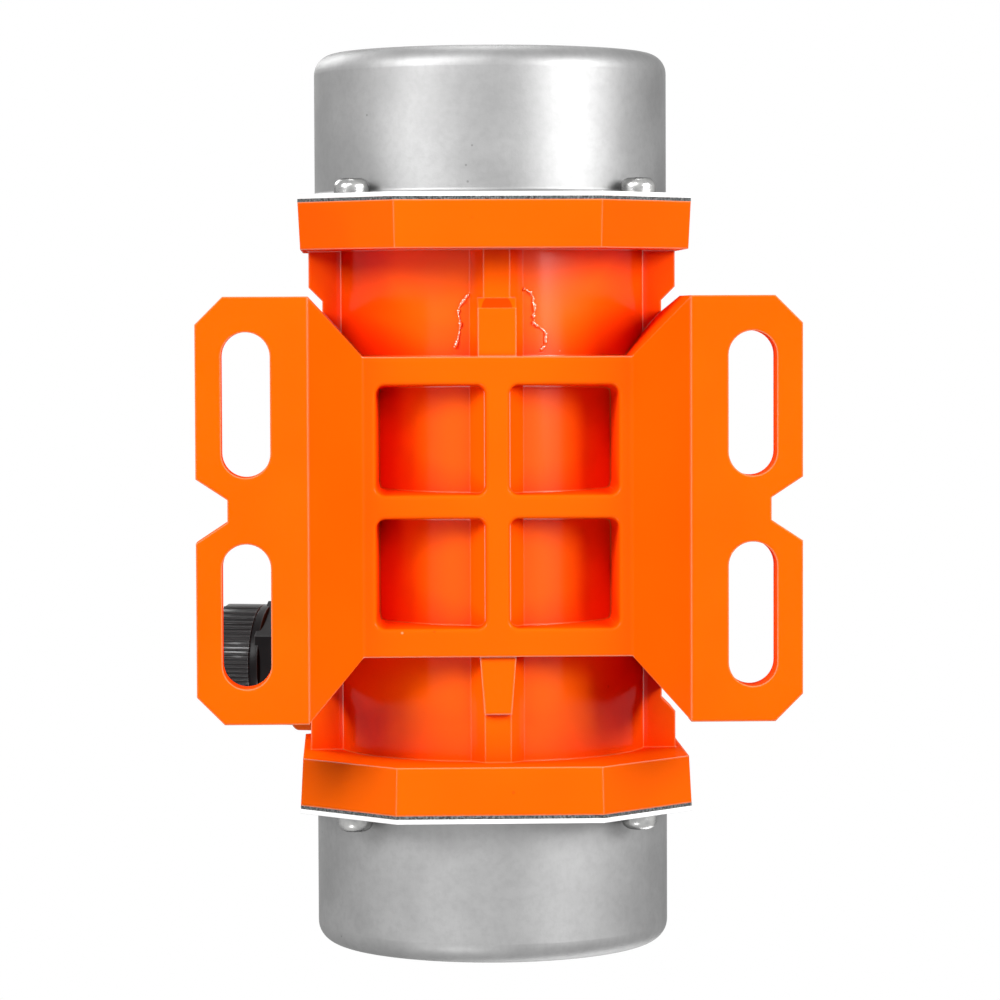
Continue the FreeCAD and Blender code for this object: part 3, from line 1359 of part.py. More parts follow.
for item in doc.Objects:
    if "Invalid" in item.State or "Error" in item.State:
        raise RuntimeError(f"{item.Label} failed: {item.State}")
for item in sub_parts:
    if item.Shape.isNull() or not item.Shape.isValid():
        raise RuntimeError(f"{item.Label} has no valid shape")
for item in sub_parts:
    item.Shape.exportStep(f"parts/{item.Label}.step")
    box = item.Shape.BoundBox
    print(f"{item.Label}: {len(item.Shape.Solids)} solids, {item.Shape.Volume:.0f} mm3, "
          f"X {box.XMin:.1f} {box.XMax:.1f}, Y {box.YMin:.1f} {box.YMax:.1f}, Z {box.ZMin:.1f} {box.ZMax:.1f}")
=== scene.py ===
import math

import bmesh
import bpy
from mathutils import Matrix, Vector


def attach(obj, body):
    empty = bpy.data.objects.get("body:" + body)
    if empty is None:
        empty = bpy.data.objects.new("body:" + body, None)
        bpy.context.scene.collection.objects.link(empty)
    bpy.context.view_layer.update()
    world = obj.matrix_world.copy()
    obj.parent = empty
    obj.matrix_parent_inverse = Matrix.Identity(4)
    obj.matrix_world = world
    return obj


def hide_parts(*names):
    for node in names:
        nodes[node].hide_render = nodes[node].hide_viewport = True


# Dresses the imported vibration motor: painted casting, satin steel caps, cable gland and running gear.
# Everything is in metres in the part's own frame: X along the shaft, Y across the feet, Z up.

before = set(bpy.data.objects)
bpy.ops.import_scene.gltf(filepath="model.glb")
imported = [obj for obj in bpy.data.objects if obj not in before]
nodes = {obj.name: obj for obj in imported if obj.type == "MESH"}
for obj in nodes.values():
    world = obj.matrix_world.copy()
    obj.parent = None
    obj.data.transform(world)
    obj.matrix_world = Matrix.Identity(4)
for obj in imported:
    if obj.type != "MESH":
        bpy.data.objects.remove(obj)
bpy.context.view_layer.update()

MM = 0.001
SHAFT_HEIGHT = 52.0 * MM
BARREL_RADIUS = 34.0 * MM
KEEL_LEVEL = 15.5 * MM
PAD_SLOPE_START = 42.2 * MM
PAD_SLOPE_END = 44.3 * MM
PAD_ARCH_HALF_WIDTH = 3.25 * MM
COVER_PLATE_FACE = 66.7 * MM


# Helpers for node trees

class Value:
    """A socket of a node tree. Arithmetic on it adds Math nodes to the same tree, with numbers on either side."""

    def __init__(self, owner, socket):
        self.owner = owner
        self.socket = socket

    def maths(self, operation, *operands):
        sockets = dict(enumerate(operands))
        return self.owner.node("ShaderNodeMath", {"operation": operation}, sockets)["Value"]

    def __add__(self, other):
        return self.maths("ADD", self, other)

    __radd__ = __add__

    def __sub__(self, other):
        return self.maths("SUBTRACT", self, other)

    def __rsub__(self, other):
        return self.maths("SUBTRACT", other, self)

    def __mul__(self, other):
        return self.maths("MULTIPLY", self, other)

    __rmul__ = __mul__

    def __truediv__(self, other):
        return self.maths("DIVIDE", self, other)

    def __rtruediv__(self, other):
        return self.maths("DIVIDE", other, self)

    def __pow__(self, other):
        return self.maths("POWER", self, other)

    def between(self, low, high):
        """0 below low, 1 above high, smooth in between."""
        sockets = {"Value": self, "From Min": low, "From Max": high, "To Min": 0.0, "To Max": 1.0}
        return self.owner.node("ShaderNodeMapRange", {"interpolation_type": "SMOOTHSTEP"}, sockets)["Result"]


def absolute(length):
    return length.maths("ABSOLUTE", length)


class NodeTree:
    """A tree of shader or geometry nodes."""

    def node(self, kind, settings=None, sockets=None):
        """Add a node, make its settings, then fill or link its sockets. Returns its outputs by identifier."""
        made = self.tree.nodes.new(kind)
        for name, setting in (settings or {}).items():
            setattr(made, name, setting)
        by_identifier = {socket.identifier: socket for socket in made.inputs}
        for key, filling in (sockets or {}).items():
            socket = made.inputs[key] if isinstance(key, int) else by_identifier[key]
            if isinstance(filling, (Value, list)):
                for part in (filling if isinstance(filling, list) else [filling]):
                    self.tree.links.new(part.socket, socket)
            else:
                socket.default_value = filling
        return {socket.identifier: Value(self, socket) for socket in made.outputs}


class Finish(NodeTree):
    """One procedural material, built on object coordinates, with sizes in metres."""

    def __init__(self, name):
        self.material = bpy.data.materials.new(name)
        self.material.use_nodes = True
        self.tree = self.material.node_tree
        self.tree.nodes.clear()
        self.place = self.node("ShaderNodeTexCoord")["Object"]

    def stretched(self, scale):
        """The object coordinates, stretched along the axes and turned into steps of one."""
        return self.node("ShaderNodeVectorMath", {"operation": "MULTIPLY"}, {0: self.place, 1: scale})["Vector"]

    def noise(self, size, detail=2.0, grain=(1.0, 1.0, 1.0), seed=0.0, rough=0.5):
        """Soft noise whose features are about size metres. A low grain draws them out along an axis."""
        place = self.stretched(tuple(axis / size for axis in grain))
        sockets = {"Vector": place, "W": seed, "Scale": 1.0, "Detail": detail, "Roughness": rough}
        return self.node("ShaderNodeTexNoise", {"noise_dimensions": "4D"}, sockets)["Fac"]

    def cells(self, size, seed=0.0):
        """Distance from scattered points that stand about size metres apart, in units of size."""
        sockets = {"Vector": self.stretched((1 / size, 1 / size, 1 / size)), "W": seed, "Scale": 1.0}
        return self.node("ShaderNodeTexVoronoi", {"voronoi_dimensions": "4D"}, sockets)["Distance"]

    def along(self, axis):
        """One of the object coordinates, in metres."""
        return self.node("ShaderNodeSeparateXYZ", None, {0: self.place})[axis]

    def from_shaft_line(self):
        """Distance from the shaft's axis, in metres."""
        parts = self.node("ShaderNodeSeparateXYZ", None, {0: self.place})
        across, up = parts["Y"], parts["Z"] - SHAFT_HEIGHT
        return (across * across + up * up) ** 0.5

    def wave(self, length, pitch):
        """A sine from 0 to 1 along a length in metres."""
        turn = length * (2 * math.pi / pitch)
        return turn.maths("SINE", turn) * 0.5 + 0.5

    def blend(self, mask, first, second):
        sockets = {"Factor_Float": mask, "A_Color": first, "B_Color": second}
        return self.node("ShaderNodeMix", {"data_type": "RGBA"}, sockets)["Result_Color"]

    def bump(self, height, depth, over=None):
        """A normal from a height of 0 to 1, as deep as depth metres."""
        sockets = {"Height": height, "Distance": depth, "Strength": 1.0}
        if over is not None:
            sockets["Normal"] = over
        return self.node("ShaderNodeBump", None, sockets)["Normal"]

    def soft_edge(self, radius):
        """A normal that turns sharp edges into rounded ones."""
        return self.node("ShaderNodeBevel", {"samples": 6}, {"Radius": radius})["Normal"]

    def edge_mask(self, radius):
        """1 on sharp edges and 0 on the faces between them."""
        soft = self.soft_edge(radius)
        true = self.node("ShaderNodeNewGeometry")["Normal"]
        facing = self.node("ShaderNodeVectorMath", {"operation": "DOT_PRODUCT"}, {0: soft, 1: true})["Value"]
        return (1.0 - facing).between(0.01, 0.14)

    def hollows(self, reach):
        """0 on open faces, towards 1 in corners and recesses whose walls stand within reach metres."""
        settings = {"samples": 8, "only_local": True}
        return 1.0 - self.node("ShaderNodeAmbientOcclusion", settings, {"Distance": reach})["AO"]

    def shade(self, **sockets):
        """The surface shader. Words in a socket's name are joined by underscores."""
        fillings = {name.replace("_", " "): filling for name, filling in sockets.items()}
        surface = self.node("ShaderNodeBsdfPrincipled", None, fillings)["BSDF"]
        self.node("ShaderNodeOutputMaterial", None, {"Surface": surface})
        return self.material


class Pattern(NodeTree):
    """A Geometry Nodes tree with named inputs for its sizes, which ends in plain mesh of one material."""

    def __init__(self, name):
        self.tree = bpy.data.node_groups.new(name, "GeometryNodeTree")
        self.entry = self.tree.nodes.new("NodeGroupInput")
        self.identifiers = {}
        self.start = self.size("Geometry", "NodeSocketGeometry")
        self.tree.interface.new_socket("Geometry", in_out="OUTPUT", socket_type="NodeSocketGeometry")

    def size(self, name, kind="NodeSocketFloat"):
        """A named input of the tree."""
        item = self.tree.interface.new_socket(name, in_out="INPUT", socket_type=kind)
        self.identifiers[name] = item.identifier
        socket = next(output for output in self.entry.outputs if output.identifier == item.identifier)
        return Value(self, socket)

    def vector(self, **parts):
        return self.node("ShaderNodeCombineXYZ", None, parts)["Vector"]

    def end(self, geometry, material):
        real = self.node("GeometryNodeRealizeInstances", None, {"Geometry": geometry})["Geometry"]
        sockets = {"Geometry": real, "Material": material}
        coated = self.node("GeometryNodeSetMaterial", None, sockets)["Geometry"]
        self.node("NodeGroupOutput", None, {0: coated})


def new_piece(name, mesh):
    piece = bpy.data.objects.new(name, mesh)
    bpy.context.scene.collection.objects.link(piece)
    return piece


def grow(piece, pattern, **sizes):
    """Run a pattern on a piece and keep the result as its plain mesh."""
    modifier = piece.modifiers.new("pattern", "NODES")
    modifier.node_group = pattern.tree
    for name, amount in sizes.items():
        modifier[pattern.identifiers[name.replace("_", " ")]] = amount
    grown = bpy.data.meshes.new_from_object(piece.evaluated_get(bpy.context.evaluated_depsgraph_get()))
    piece.modifiers.clear()
    piece.data = grown


def crease(mesh, degrees):
    """Smooth shading, with edges sharper than the angle kept sharp."""
    shape = bmesh.new()
    shape.from_mesh(mesh)
    bmesh.ops.remove_doubles(shape, verts=shape.verts, dist=0.001 * MM)
    bmesh.ops.recalc_face_normals(shape, faces=shape.faces)
    for face in shape.faces:
        face.smooth = True
    for edge in shape.edges:
        edge.smooth = len(edge.link_faces) == 2 and edge.calc_face_angle() < math.radians(degrees)
    shape.to_mesh(mesh)
    shape.free()


def lathe(name, profile, steps):
    """A mesh turned about X from (along, radius) pairs in millimetres, closed into a ring."""
    shape = bmesh.new()
    corners = [shape.verts.new((along * MM, 0.0, radius * MM)) for along, radius in profile]
    rim = [shape.edges.new((first, second)) for first, second in zip(corners, corners[1:] + corners[:1])]
    bmesh.ops.spin(shape, geom=corners + rim, cent=(0, 0, 0), axis=(1, 0, 0),
                   angle=math.radians(360), steps=steps, use_duplicate=False)
    mesh = bpy.data.meshes.new(name)
    shape.to_mesh(mesh)
    shape.free()
    crease(mesh, 30)
    return mesh


def rgb(red, green, blue):
    return (red, green, blue, 1.0)


# Finishes

def keel_step_painted_shade(finish):
    """1 on the sloped end of the keel's front pad, where the enamel gets a painted shade of deep red. Its outline
    is a low arch.
    """
    along, across, up = finish.along("X"), absolute(finish.along("Y")), finish.along("Z")
    behind_top = 1.0 - along.between(PAD_SLOPE_END - 0.2 * MM, PAD_SLOPE_END + 0.2 * MM)
    on_slope = along.between(PAD_SLOPE_START - 0.1 * MM, PAD_SLOPE_START + 0.1 * MM) * behind_top
    rise = (along - PAD_SLOPE_START) * (1.0 / (PAD_SLOPE_END - PAD_SLOPE_START))
    shoulder = across + rise * rise * (0.9 * MM)
    inside = 1.0 - shoulder.between(PAD_ARCH_HALF_WIDTH - 0.15 * MM, PAD_ARCH_HALF_WIDTH + 0.15 * MM)
    below = 1.0 - up.between(KEEL_LEVEL + 0.1 * MM, KEEL_LEVEL + 0.4 * MM)
    return on_slope * inside * below


def cast_paint(name, rounding, gloss):
    """Orange enamel over a die casting: ripples, pits, and pale dust specks that also serve as painted glints;
    painted shade makes it redder in hollows and on the keel pad's slope, a painted highlight pales its edges, and
    the edges are glossy.
    """
    finish = Finish(name)
    flow = finish.noise(11 * MM, 2.0, seed=1.0)
    patch = finish.noise(34 * MM, 2.0, seed=4.0)
    peel = finish.noise(1.3 * MM, 1.0, seed=2.0)
    pits = 1.0 - finish.cells(5.5 * MM, seed=3.0).between(0.05, 0.1)
    dust_and_painted_glints = 1.0 - finish.cells(7.5 * MM, seed=9.0).between(0.03, 0.06)
    tone = finish.blend(patch.between(0.3, 0.7), rgb(0.95, 0.117, 0.0006), rgb(0.97, 0.131, 0.001))
    # Painted shade: the enamel turns deeper red in corners and recesses, where shade falls.
    tone = finish.blend(finish.hollows(16 * MM).between(0.12, 0.75), tone, rgb(0.86, 0.045, 0.001))
    # Painted shade on the sloped end of the keel's front pad.
    tone = finish.blend(keel_step_painted_shade(finish) * 0.8, tone, rgb(0.8, 0.04, 0.001))
    tone = finish.blend(pits * 0.35, tone, rgb(0.55, 0.05, 0.004))
    # Pale specks: partly dust, partly painted glints.
    tone = finish.blend(dust_and_painted_glints * 0.5, tone, rgb(1.0, 0.62, 0.36))
    barrel = 1.0 - finish.from_shaft_line().between(BARREL_RADIUS + 0.6 * MM, BARREL_RADIUS + 1.2 * MM)
    ripple = finish.noise(4.5 * MM, 1.0, grain=(1.0, 0.3, 0.3), seed=6.0)
    height = flow * 0.55 + peel * 0.06 - pits * 0.16 + dust_and_painted_glints * 0.12 + ripple * barrel * 0.4
    rim_gloss_and_painted_highlight = finish.edge_mask(0.6 * MM)
    # Painted highlight: the edges are paled towards peach; the same mask also makes them glossier.
    tone = finish.blend(rim_gloss_and_painted_highlight * 0.3, tone, rgb(1.0, 0.44, 0.1))
    return finish.shade(
        Base_Color=tone,
        Roughness=0.34 + patch * 0.1,
        Specular_IOR_Level=0.0,
        Coat_Weight=gloss + barrel * 0.05 + rim_gloss_and_painted_highlight * (0.8 - gloss),
        Coat_IOR=3.0,
        Coat_Roughness=0.2,
        Normal=finish.bump(height, 0.22 * MM, finish.soft_edge(rounding)),
    )


def drawn_steel():
    """Satin pressed steel: fine draw marks, soft clouds and specks, painted glints, and the cover's plate painted
    near white as a painted reflection.
    """
    finish = Finish("satin_drawn_steel")
    draw = finish.noise(0.5 * MM, 2.0, grain=(0.06, 1.0, 1.0), seed=1.0)
    cloud = finish.noise(16 * MM, 3.0, seed=5.0)
    grit = finish.noise(0.45 * MM, 1.0, seed=2.0)
    mottle = finish.noise(1.6 * MM, 3.0, seed=6.0, rough=0.6)
    specks = 1.0 - finish.cells(4.2 * MM, seed=3.0).between(0.04, 0.08)
    painted_glints = 1.0 - finish.cells(6.5 * MM, seed=8.0).between(0.03, 0.05)
    from_middle = absolute(finish.along("X"))
    plate_painted_bright = 1.0 - from_middle.between(COVER_PLATE_FACE - 0.05 * MM, COVER_PLATE_FACE + 0.05 * MM)
    tone = finish.blend(cloud.between(0.3, 0.7), rgb(0.28, 0.28, 0.28), rgb(0.33, 0.33, 0.33))
    tone = finish.blend(mottle.between(0.35, 0.75) * 0.22, tone, rgb(0.2, 0.2, 0.2))
    tone = finish.blend(specks * 0.6, tone, rgb(0.14, 0.14, 0.14))
    # Painted glints: scattered pale specks that stand for small highlights.
    tone = finish.blend(painted_glints * 0.6, tone, rgb(0.7, 0.7, 0.7))
    # Painted reflection: the cover's plate is painted near white.
    tone = finish.blend(plate_painted_bright, tone, rgb(0.86, 0.86, 0.86))
    height = draw * 0.3 + grit * 0.5 - specks * 0.6 + cloud * 1.2 + mottle * 0.6
    return finish.shade(
        Base_Color=tone,
        Metallic=1.0,
        Specular_Tint=rgb(0.4, 0.4, 0.4),
        Roughness=0.46 + cloud * 0.08 + draw * 0.04,
        Normal=finish.bump(height, 0.02 * MM, finish.soft_edge(0.25 * MM)),
    )


def zinc_plate():
    finish = Finish("bright_zinc_plate")
    cloud = finish.noise(2.5 * MM, 3.0, seed=1.0)
    scratch = finish.noise(0.3 * MM, 2.0, grain=(1.0, 0.2, 1.0), seed=2.0)
    # Painted shade: dark in the heads' recesses and crevices, where shade falls.
    painted_recess_shade = finish.hollows(1.2 * MM).between(0.25, 0.75)
    tone = finish.blend(cloud.between(0.35, 0.7), rgb(0.3, 0.3, 0.3), rgb(0.46, 0.46, 0.45))
    tone = finish.blend(painted_recess_shade * 0.8, tone, rgb(0.05, 0.05, 0.05))
    return finish.shade(
        Base_Color=tone,
        Metallic=1.0,
        Specular_Tint=rgb(0.4, 0.4, 0.4),
        Roughness=0.2 + cloud * 0.12 + scratch * 0.05,
        Normal=finish.bump(scratch + cloud * 2.0, 0.03 * MM, finish.soft_edge(0.2 * MM)),
    )


def gasket_sheet():
    """Pressed fibre sheet with a torn, mottled edge."""
    finish = Finish("pressed_fibre_sheet")
    fibre = finish.noise(0.42 * MM, 3.0, grain=(0.7, 1.0, 1.0), seed=1.0, rough=0.7)
    patch = finish.noise(3.5 * MM, 2.0, seed=2.0)
    tone = finish.blend(fibre.between(0.4, 0.62), rgb(0.02, 0.022, 0.023), rgb(0.2, 0.215, 0.215))
    tone = finish.blend(patch.between(0.45, 0.7) * 0.5, tone, rgb(0.055, 0.08, 0.08))
    return finish.shade(Base_Color=tone, Roughness=0.75 + fibre * 0.15, Normal=finish.bump(fibre, 0.3 * MM))


def nylon():
    finish = Finish("black_nylon")
    grain = finish.noise(0.35 * MM, 2.0, seed=1.0)
    rub = finish.noise(7 * MM, 2.0, seed=2.0)
    edge = finish.edge_mask(0.4 * MM)
    tone = finish.blend(rub.between(0.35, 0.7), rgb(0.004, 0.0034, 0.0038), rgb(0.0068, 0.0058, 0.0063))
    # Painted highlight: edges and ridge crests are paled to grey, besides their coat.
    tone = finish.blend(edge * 0.5, tone, rgb(0.03, 0.028, 0.03))
    # Painted shade: darker in the valleys between the ridges.
    tone = finish.blend(finish.hollows(0.9 * MM).between(0.35, 0.8), tone, rgb(0.003, 0.0025, 0.0028))
    return finish.shade(
        Base_Color=tone,
        Roughness=0.26 + rub * 0.14,
        Specular_IOR_Level=0.1,
        Coat_Weight=edge,
        Coat_Roughness=0.16,
        Normal=finish.bump(grain, 0.02 * MM, finish.soft_edge(0.12 * MM)),
    )


def rubber():
    finish = Finish("black_rubber")
    grain = finish.noise(0.6 * MM, 3.0, seed=1.0)
    bloom = finish.noise(5 * MM, 2.0, seed=2.0)
    tone = finish.blend(bloom.between(0.4, 0.75), rgb(0.012, 0.012, 0.012), rgb(0.032, 0.032, 0.033))
    return finish.shade(Base_Color=tone, Roughness=0.7 + grain * 0.15, Normal=finish.bump(grain, 0.03 * MM))


def turned_metal(name, dark, light, metallic=1.0, roughness=0.24, pitch=0.22):
    """Metal cut on a lathe: fine rings about the shaft line that run in tiny steps along it."""
    finish = Finish(name)
    cut = finish.wave(finish.from_shaft_line() + finish.along("X"), pitch * MM)
    cloud = finish.noise(5 * MM, 3.0, seed=1.0)
    tone = finish.blend(cloud.between(0.3, 0.7), rgb(*dark), rgb(*light))
    return finish.shade(
        Base_Color=tone,
        Metallic=metallic,
        Roughness=roughness + cloud * 0.1,
        Normal=finish.bump(cut * 0.5 + cloud, 0.01 * MM, finish.soft_edge(0.2 * MM)),
    )


def stacked_sheets():
    """Core sheets of half a millimetre, seen on their cut edges, with a blue-grey bake on them."""
    finish = Finish("stacked_core_sheets")
    sheets = finish.wave(finish.along("X"), 0.5 * MM)
    stain = finish.noise(9 * MM, 3.0, seed=1.0)
    tone = finish.blend(stain.between(0.35, 0.7), rgb(0.13, 0.135, 0.15), rgb(0.24, 0.235, 0.23))
    tone = finish.blend(sheets * 0.4, tone, rgb(0.06, 0.06, 0.065))
    return finish.shade(
        Base_Color=tone,
        Metallic=0.85,
        Roughness=0.4 + stain * 0.15,
        Normal=finish.bump(sheets, 0.05 * MM),
    )


def varnished_copper():
    """Enamelled wire laid close together and soaked in amber varnish."""
    finish = Finish("varnished_copper_wire")
    wires = finish.wave(finish.from_shaft_line(), 0.55 * MM)
    lay = finish.noise(1.6 * MM, 2.0, grain=(0.3, 1.0, 1.0), seed=1.0)
    pool = finish.noise(6 * MM, 2.0, seed=2.0)
    tone = finish.blend(lay.between(0.3, 0.7), rgb(0.3, 0.075, 0.02), rgb(0.52, 0.17, 0.05))
    tone = finish.blend(pool.between(0.5, 0.8) * 0.5, tone, rgb(0.2, 0.07, 0.012))
    return finish.shade(
        Base_Color=tone,
        Metallic=0.55,
        Roughness=0.3 + lay * 0.12,
        Coat_Weight=0.6,
        Coat_Roughness=0.12,
        Normal=finish.bump(wires * 0.7 + lay * 0.5, 0.18 * MM),
    )


def grey_iron():
    """Machined grey iron with faint turning marks and open grain."""
    finish = Finish("machined_grey_iron")
    cut = finish.wave(finish.from_shaft_line(), 0.4 * MM)
    pores = 1.0 - finish.cells(1.4 * MM, seed=1.0).between(0.08, 0.2)
    cloud = finish.noise(8 * MM, 3.0, seed=2.0)
    tone = finish.blend(cloud.between(0.3, 0.7), rgb(0.2, 0.2, 0.205), rgb(0.3, 0.3, 0.3))
    tone = finish.blend(pores * 0.6, tone, rgb(0.05, 0.05, 0.05))
    return finish.shade(
        Base_Color=tone,
        Metallic=0.8,
        Roughness=0.42 + cloud * 0.12,
        Normal=finish.bump(cut * 0.3 - pores * 0.5, 0.05 * MM, finish.soft_edge(0.4 * MM)),
    )


def dark_plate():
    """Thick steel plate with a dark oxide skin, worn bright on its edges."""
    finish = Finish("dark_steel_plate")
    scale = finish.noise(4 * MM, 4.0, seed=1.0)
    grit = finish.noise(0.7 * MM, 2.0, seed=2.0)
    edge = finish.edge_mask(0.5 * MM) * finish.noise(2 * MM, 3.0, seed=3.0).between(0.35, 0.6)
    tone = finish.blend(scale.between(0.3, 0.7), rgb(0.055, 0.056, 0.06), rgb(0.11, 0.108, 0.105))
    tone = finish.blend(edge, tone, rgb(0.42, 0.41, 0.4))
    return finish.shade(
        Base_Color=tone,
        Metallic=0.85,
        Roughness=0.38 + scale * 0.2,
        Normal=finish.bump(scale + grit * 0.4, 0.05 * MM, finish.soft_edge(0.4 * MM)),
    )


def spring_steel():
    finish = Finish("blued_spring_steel")
    cloud = finish.noise(3 * MM, 3.0, seed=1.0)
    tone = finish.blend(cloud.between(0.3, 0.7), rgb(0.06, 0.07, 0.1), rgb(0.12, 0.12, 0.13))
    return finish.shade(Base_Color=tone, Metallic=0.9, Roughness=0.3 + cloud * 0.1,
                        Normal=finish.bump(cloud, 0.02 * MM, finish.soft_edge(0.2 * MM)))


def plain_brass():
    finish = Finish("plain_brass")
    stain = finish.noise(2.5 * MM, 3.0, seed=1.0)
    tone = finish.blend(stain.between(0.35, 0.7), rgb(0.62, 0.4, 0.13), rgb(0.78, 0.58, 0.26))
    return finish.shade(Base_Color=tone, Metallic=1.0, Roughness=0.24 + stain * 0.16,
                        Normal=finish.bump(stain, 0.03 * MM, finish.soft_edge(0.2 * MM)))


def cast_aluminium():
    finish = Finish("cast_aluminium")
    grain = finish.noise(1.2 * MM, 3.0, seed=1.0)
    cloud = finish.noise(7 * MM, 2.0, seed=2.0)
    tone = finish.blend(cloud.between(0.3, 0.7), rgb(0.5, 0.5, 0.51), rgb(0.66, 0.66, 0.66))
    return finish.shade(Base_Color=tone, Metallic=0.9, Roughness=0.4 + grain * 0.15,
                        Normal=finish.bump(grain, 0.08 * MM, finish.soft_edge(0.4 * MM)))


def moulded_resin():
    finish = Finish("black_moulded_resin")
    flow = finish.noise(5 * MM, 2.0, seed=1.0)
    grain = finish.noise(0.4 * MM, 2.0, seed=2.0)
    tone = finish.blend(flow.between(0.3, 0.7), rgb(0.016, 0.015, 0.014), rgb(0.034, 0.031, 0.029))
    return finish.shade(Base_Color=tone, Roughness=0.34 + flow * 0.1,
                        Normal=finish.bump(grain * 0.3 + flow, 0.03 * MM, finish.soft_edge(0.3 * MM)))


enamel = cast_paint("orange_enamel", 0.9 * MM, 0.02)
seam_enamel = cast_paint("orange_enamel_seams", 0.1 * MM, 0.8)
cap_steel = drawn_steel()
zinc = zinc_plate()
fibre_sheet = gasket_sheet()
black_nylon = nylon()
black_rubber = rubber()
ground_steel = turned_metal("ground_steel", (0.4, 0.4, 0.41), (0.52, 0.52, 0.52))
bearing_steel = turned_metal("polished_bearing_steel", (0.55, 0.55, 0.56), (0.66, 0.66, 0.66), roughness=0.1)
cage_steel = turned_metal("pressed_cage_steel", (0.4, 0.38, 0.34), (0.5, 0.48, 0.44), roughness=0.3)
core_sheets = stacked_sheets()
copper = varnished_copper()
iron = grey_iron()
weight_plate = dark_plate()
clip_steel = spring_steel()
brass = plain_brass()
aluminium = cast_aluminium()
resin = moulded_resin()

node_finishes = {
    "housing": enamel,
    "terminal_box_lid": enamel,
    "lid_gasket": black_rubber,
    "lid_screws": zinc,
    "terminal_block": resin,
    "terminal_studs": brass,
    "block_screws": zinc,
    "earth_screw": brass,
    "gland_washer": black_rubber,
    "gland_body": black_nylon,
    "gland_seal": black_rubber,
    "gland_dome_nut": black_nylon,
    "stator_core": core_sheets,
    "stator_windings": copper,
    "shaft": ground_steel,
    "rotor_core": core_sheets,
    "rotor_end_rings": aluminium,
}
end_finishes = {
    "weight_cover": cap_steel,
    "cover_gasket": fibre_sheet,
    "cover_screws": zinc,
    "bearing_bracket": iron,
    "bracket_screws": zinc,
    "bearing_outer_ring": bearing_steel,
    "bearing_inner_ring": bearing_steel,
    "bearing_circlip": clip_steel,
    "bearing_cage": cage_steel,
    "bearing_balls": bearing_steel,
    "weight_spacer": ground_steel,
    "fixed_weight": weight_plate,
    "adjustable_weight": weight_plate,
    "weight_key": ground_steel,
    "weight_washer": ground_steel,
    "shaft_circlip": clip_steel,
    "clamp_screw": clip_steel,
}
for piece, finish in end_finishes.items():
    node_finishes[f"front_{piece}"] = finish
    node_finishes[f"rear_{piece}"] = finish
for name, node in nodes.items():
    node.data.materials.clear()
    node.data.materials.append(node_finishes[name])


# Cable gland nut

GLAND_TILT = 14.0
GLAND_PLACE = (-40.0, -43.2, 93.0)
NUT_RADIUS = 14.0
NUT_START = 6.3
NUT_END = 21.6
GRIP_START = NUT_START + 2.4
GRIP_END = NUT_END - 4.7
GRIP_RADIUS = NUT_RADIUS - 0.35
NECK_RADIUS = 10.6
MOUTH_RADIUS = 7.4


def on_gland_line(mesh):
    """Turn a mesh made along X onto the gland's line, which leaves the box leftwards and up."""
    lean = math.radians(GLAND_TILT)
    outward = Vector((0.0, -math.cos(lean), math.sin(lean)))
    across = Vector((1.0, 0.0, 0.0))
    turn = Matrix((outward, across, outward.cross(across))).transposed().to_4x4()
    mesh.transform(Matrix.Translation(Vector(GLAND_PLACE) * MM) @ turn)


def ridged_grip(material):
    """Half-round ridges along X on both moulded halves of a round grip, evenly spaced across each half."""
    grip = Pattern("ridged_grip")
    count = grip.size("Ridge Count", "NodeSocketInt")
    pitch = grip.size("Ridge Pitch")
    radius = grip.size("Grip Radius")
    half_width = grip.size("Ridge Half Width")
    first, last = grip.size("Ridge Start"), grip.size("Ridge End")
    sockets = {"Start": grip.vector(X=first), "End": grip.vector(X=last)}
    line = grip.node("GeometryNodeCurvePrimitiveLine", None, sockets)["Curve"]
    sockets = {"Resolution": 8, "Radius": half_width}
    section = grip.node("GeometryNodeCurvePrimitiveCircle", None, sockets)["Curve"]
    sockets = {"Curve": line, "Profile Curve": section, "Fill Caps": True}
    ridge = grip.node("GeometryNodeCurveToMesh", None, sockets)["Mesh"]
    across = (grip.node("GeometryNodeInputIndex")["Index"] - (count - 1) * 0.5) * pitch
    height = (radius * radius - across * across) ** 0.5
    halves = []
    for side in (1.0, -1.0):
        sockets = {"Count": count, "Position": grip.vector(Y=across, Z=height * side)}
        places = grip.node("GeometryNodePoints", None, sockets)["Geometry"]
        sockets = {"Points": places, "Instance": ridge}
        halves.append(grip.node("GeometryNodeInstanceOnPoints", None, sockets)["Instances"])
    joined = grip.node("GeometryNodeJoinGeometry", None, {"Geometry": [*halves, grip.start]})["Geometry"]
    grip.end(joined, material)
    return grip


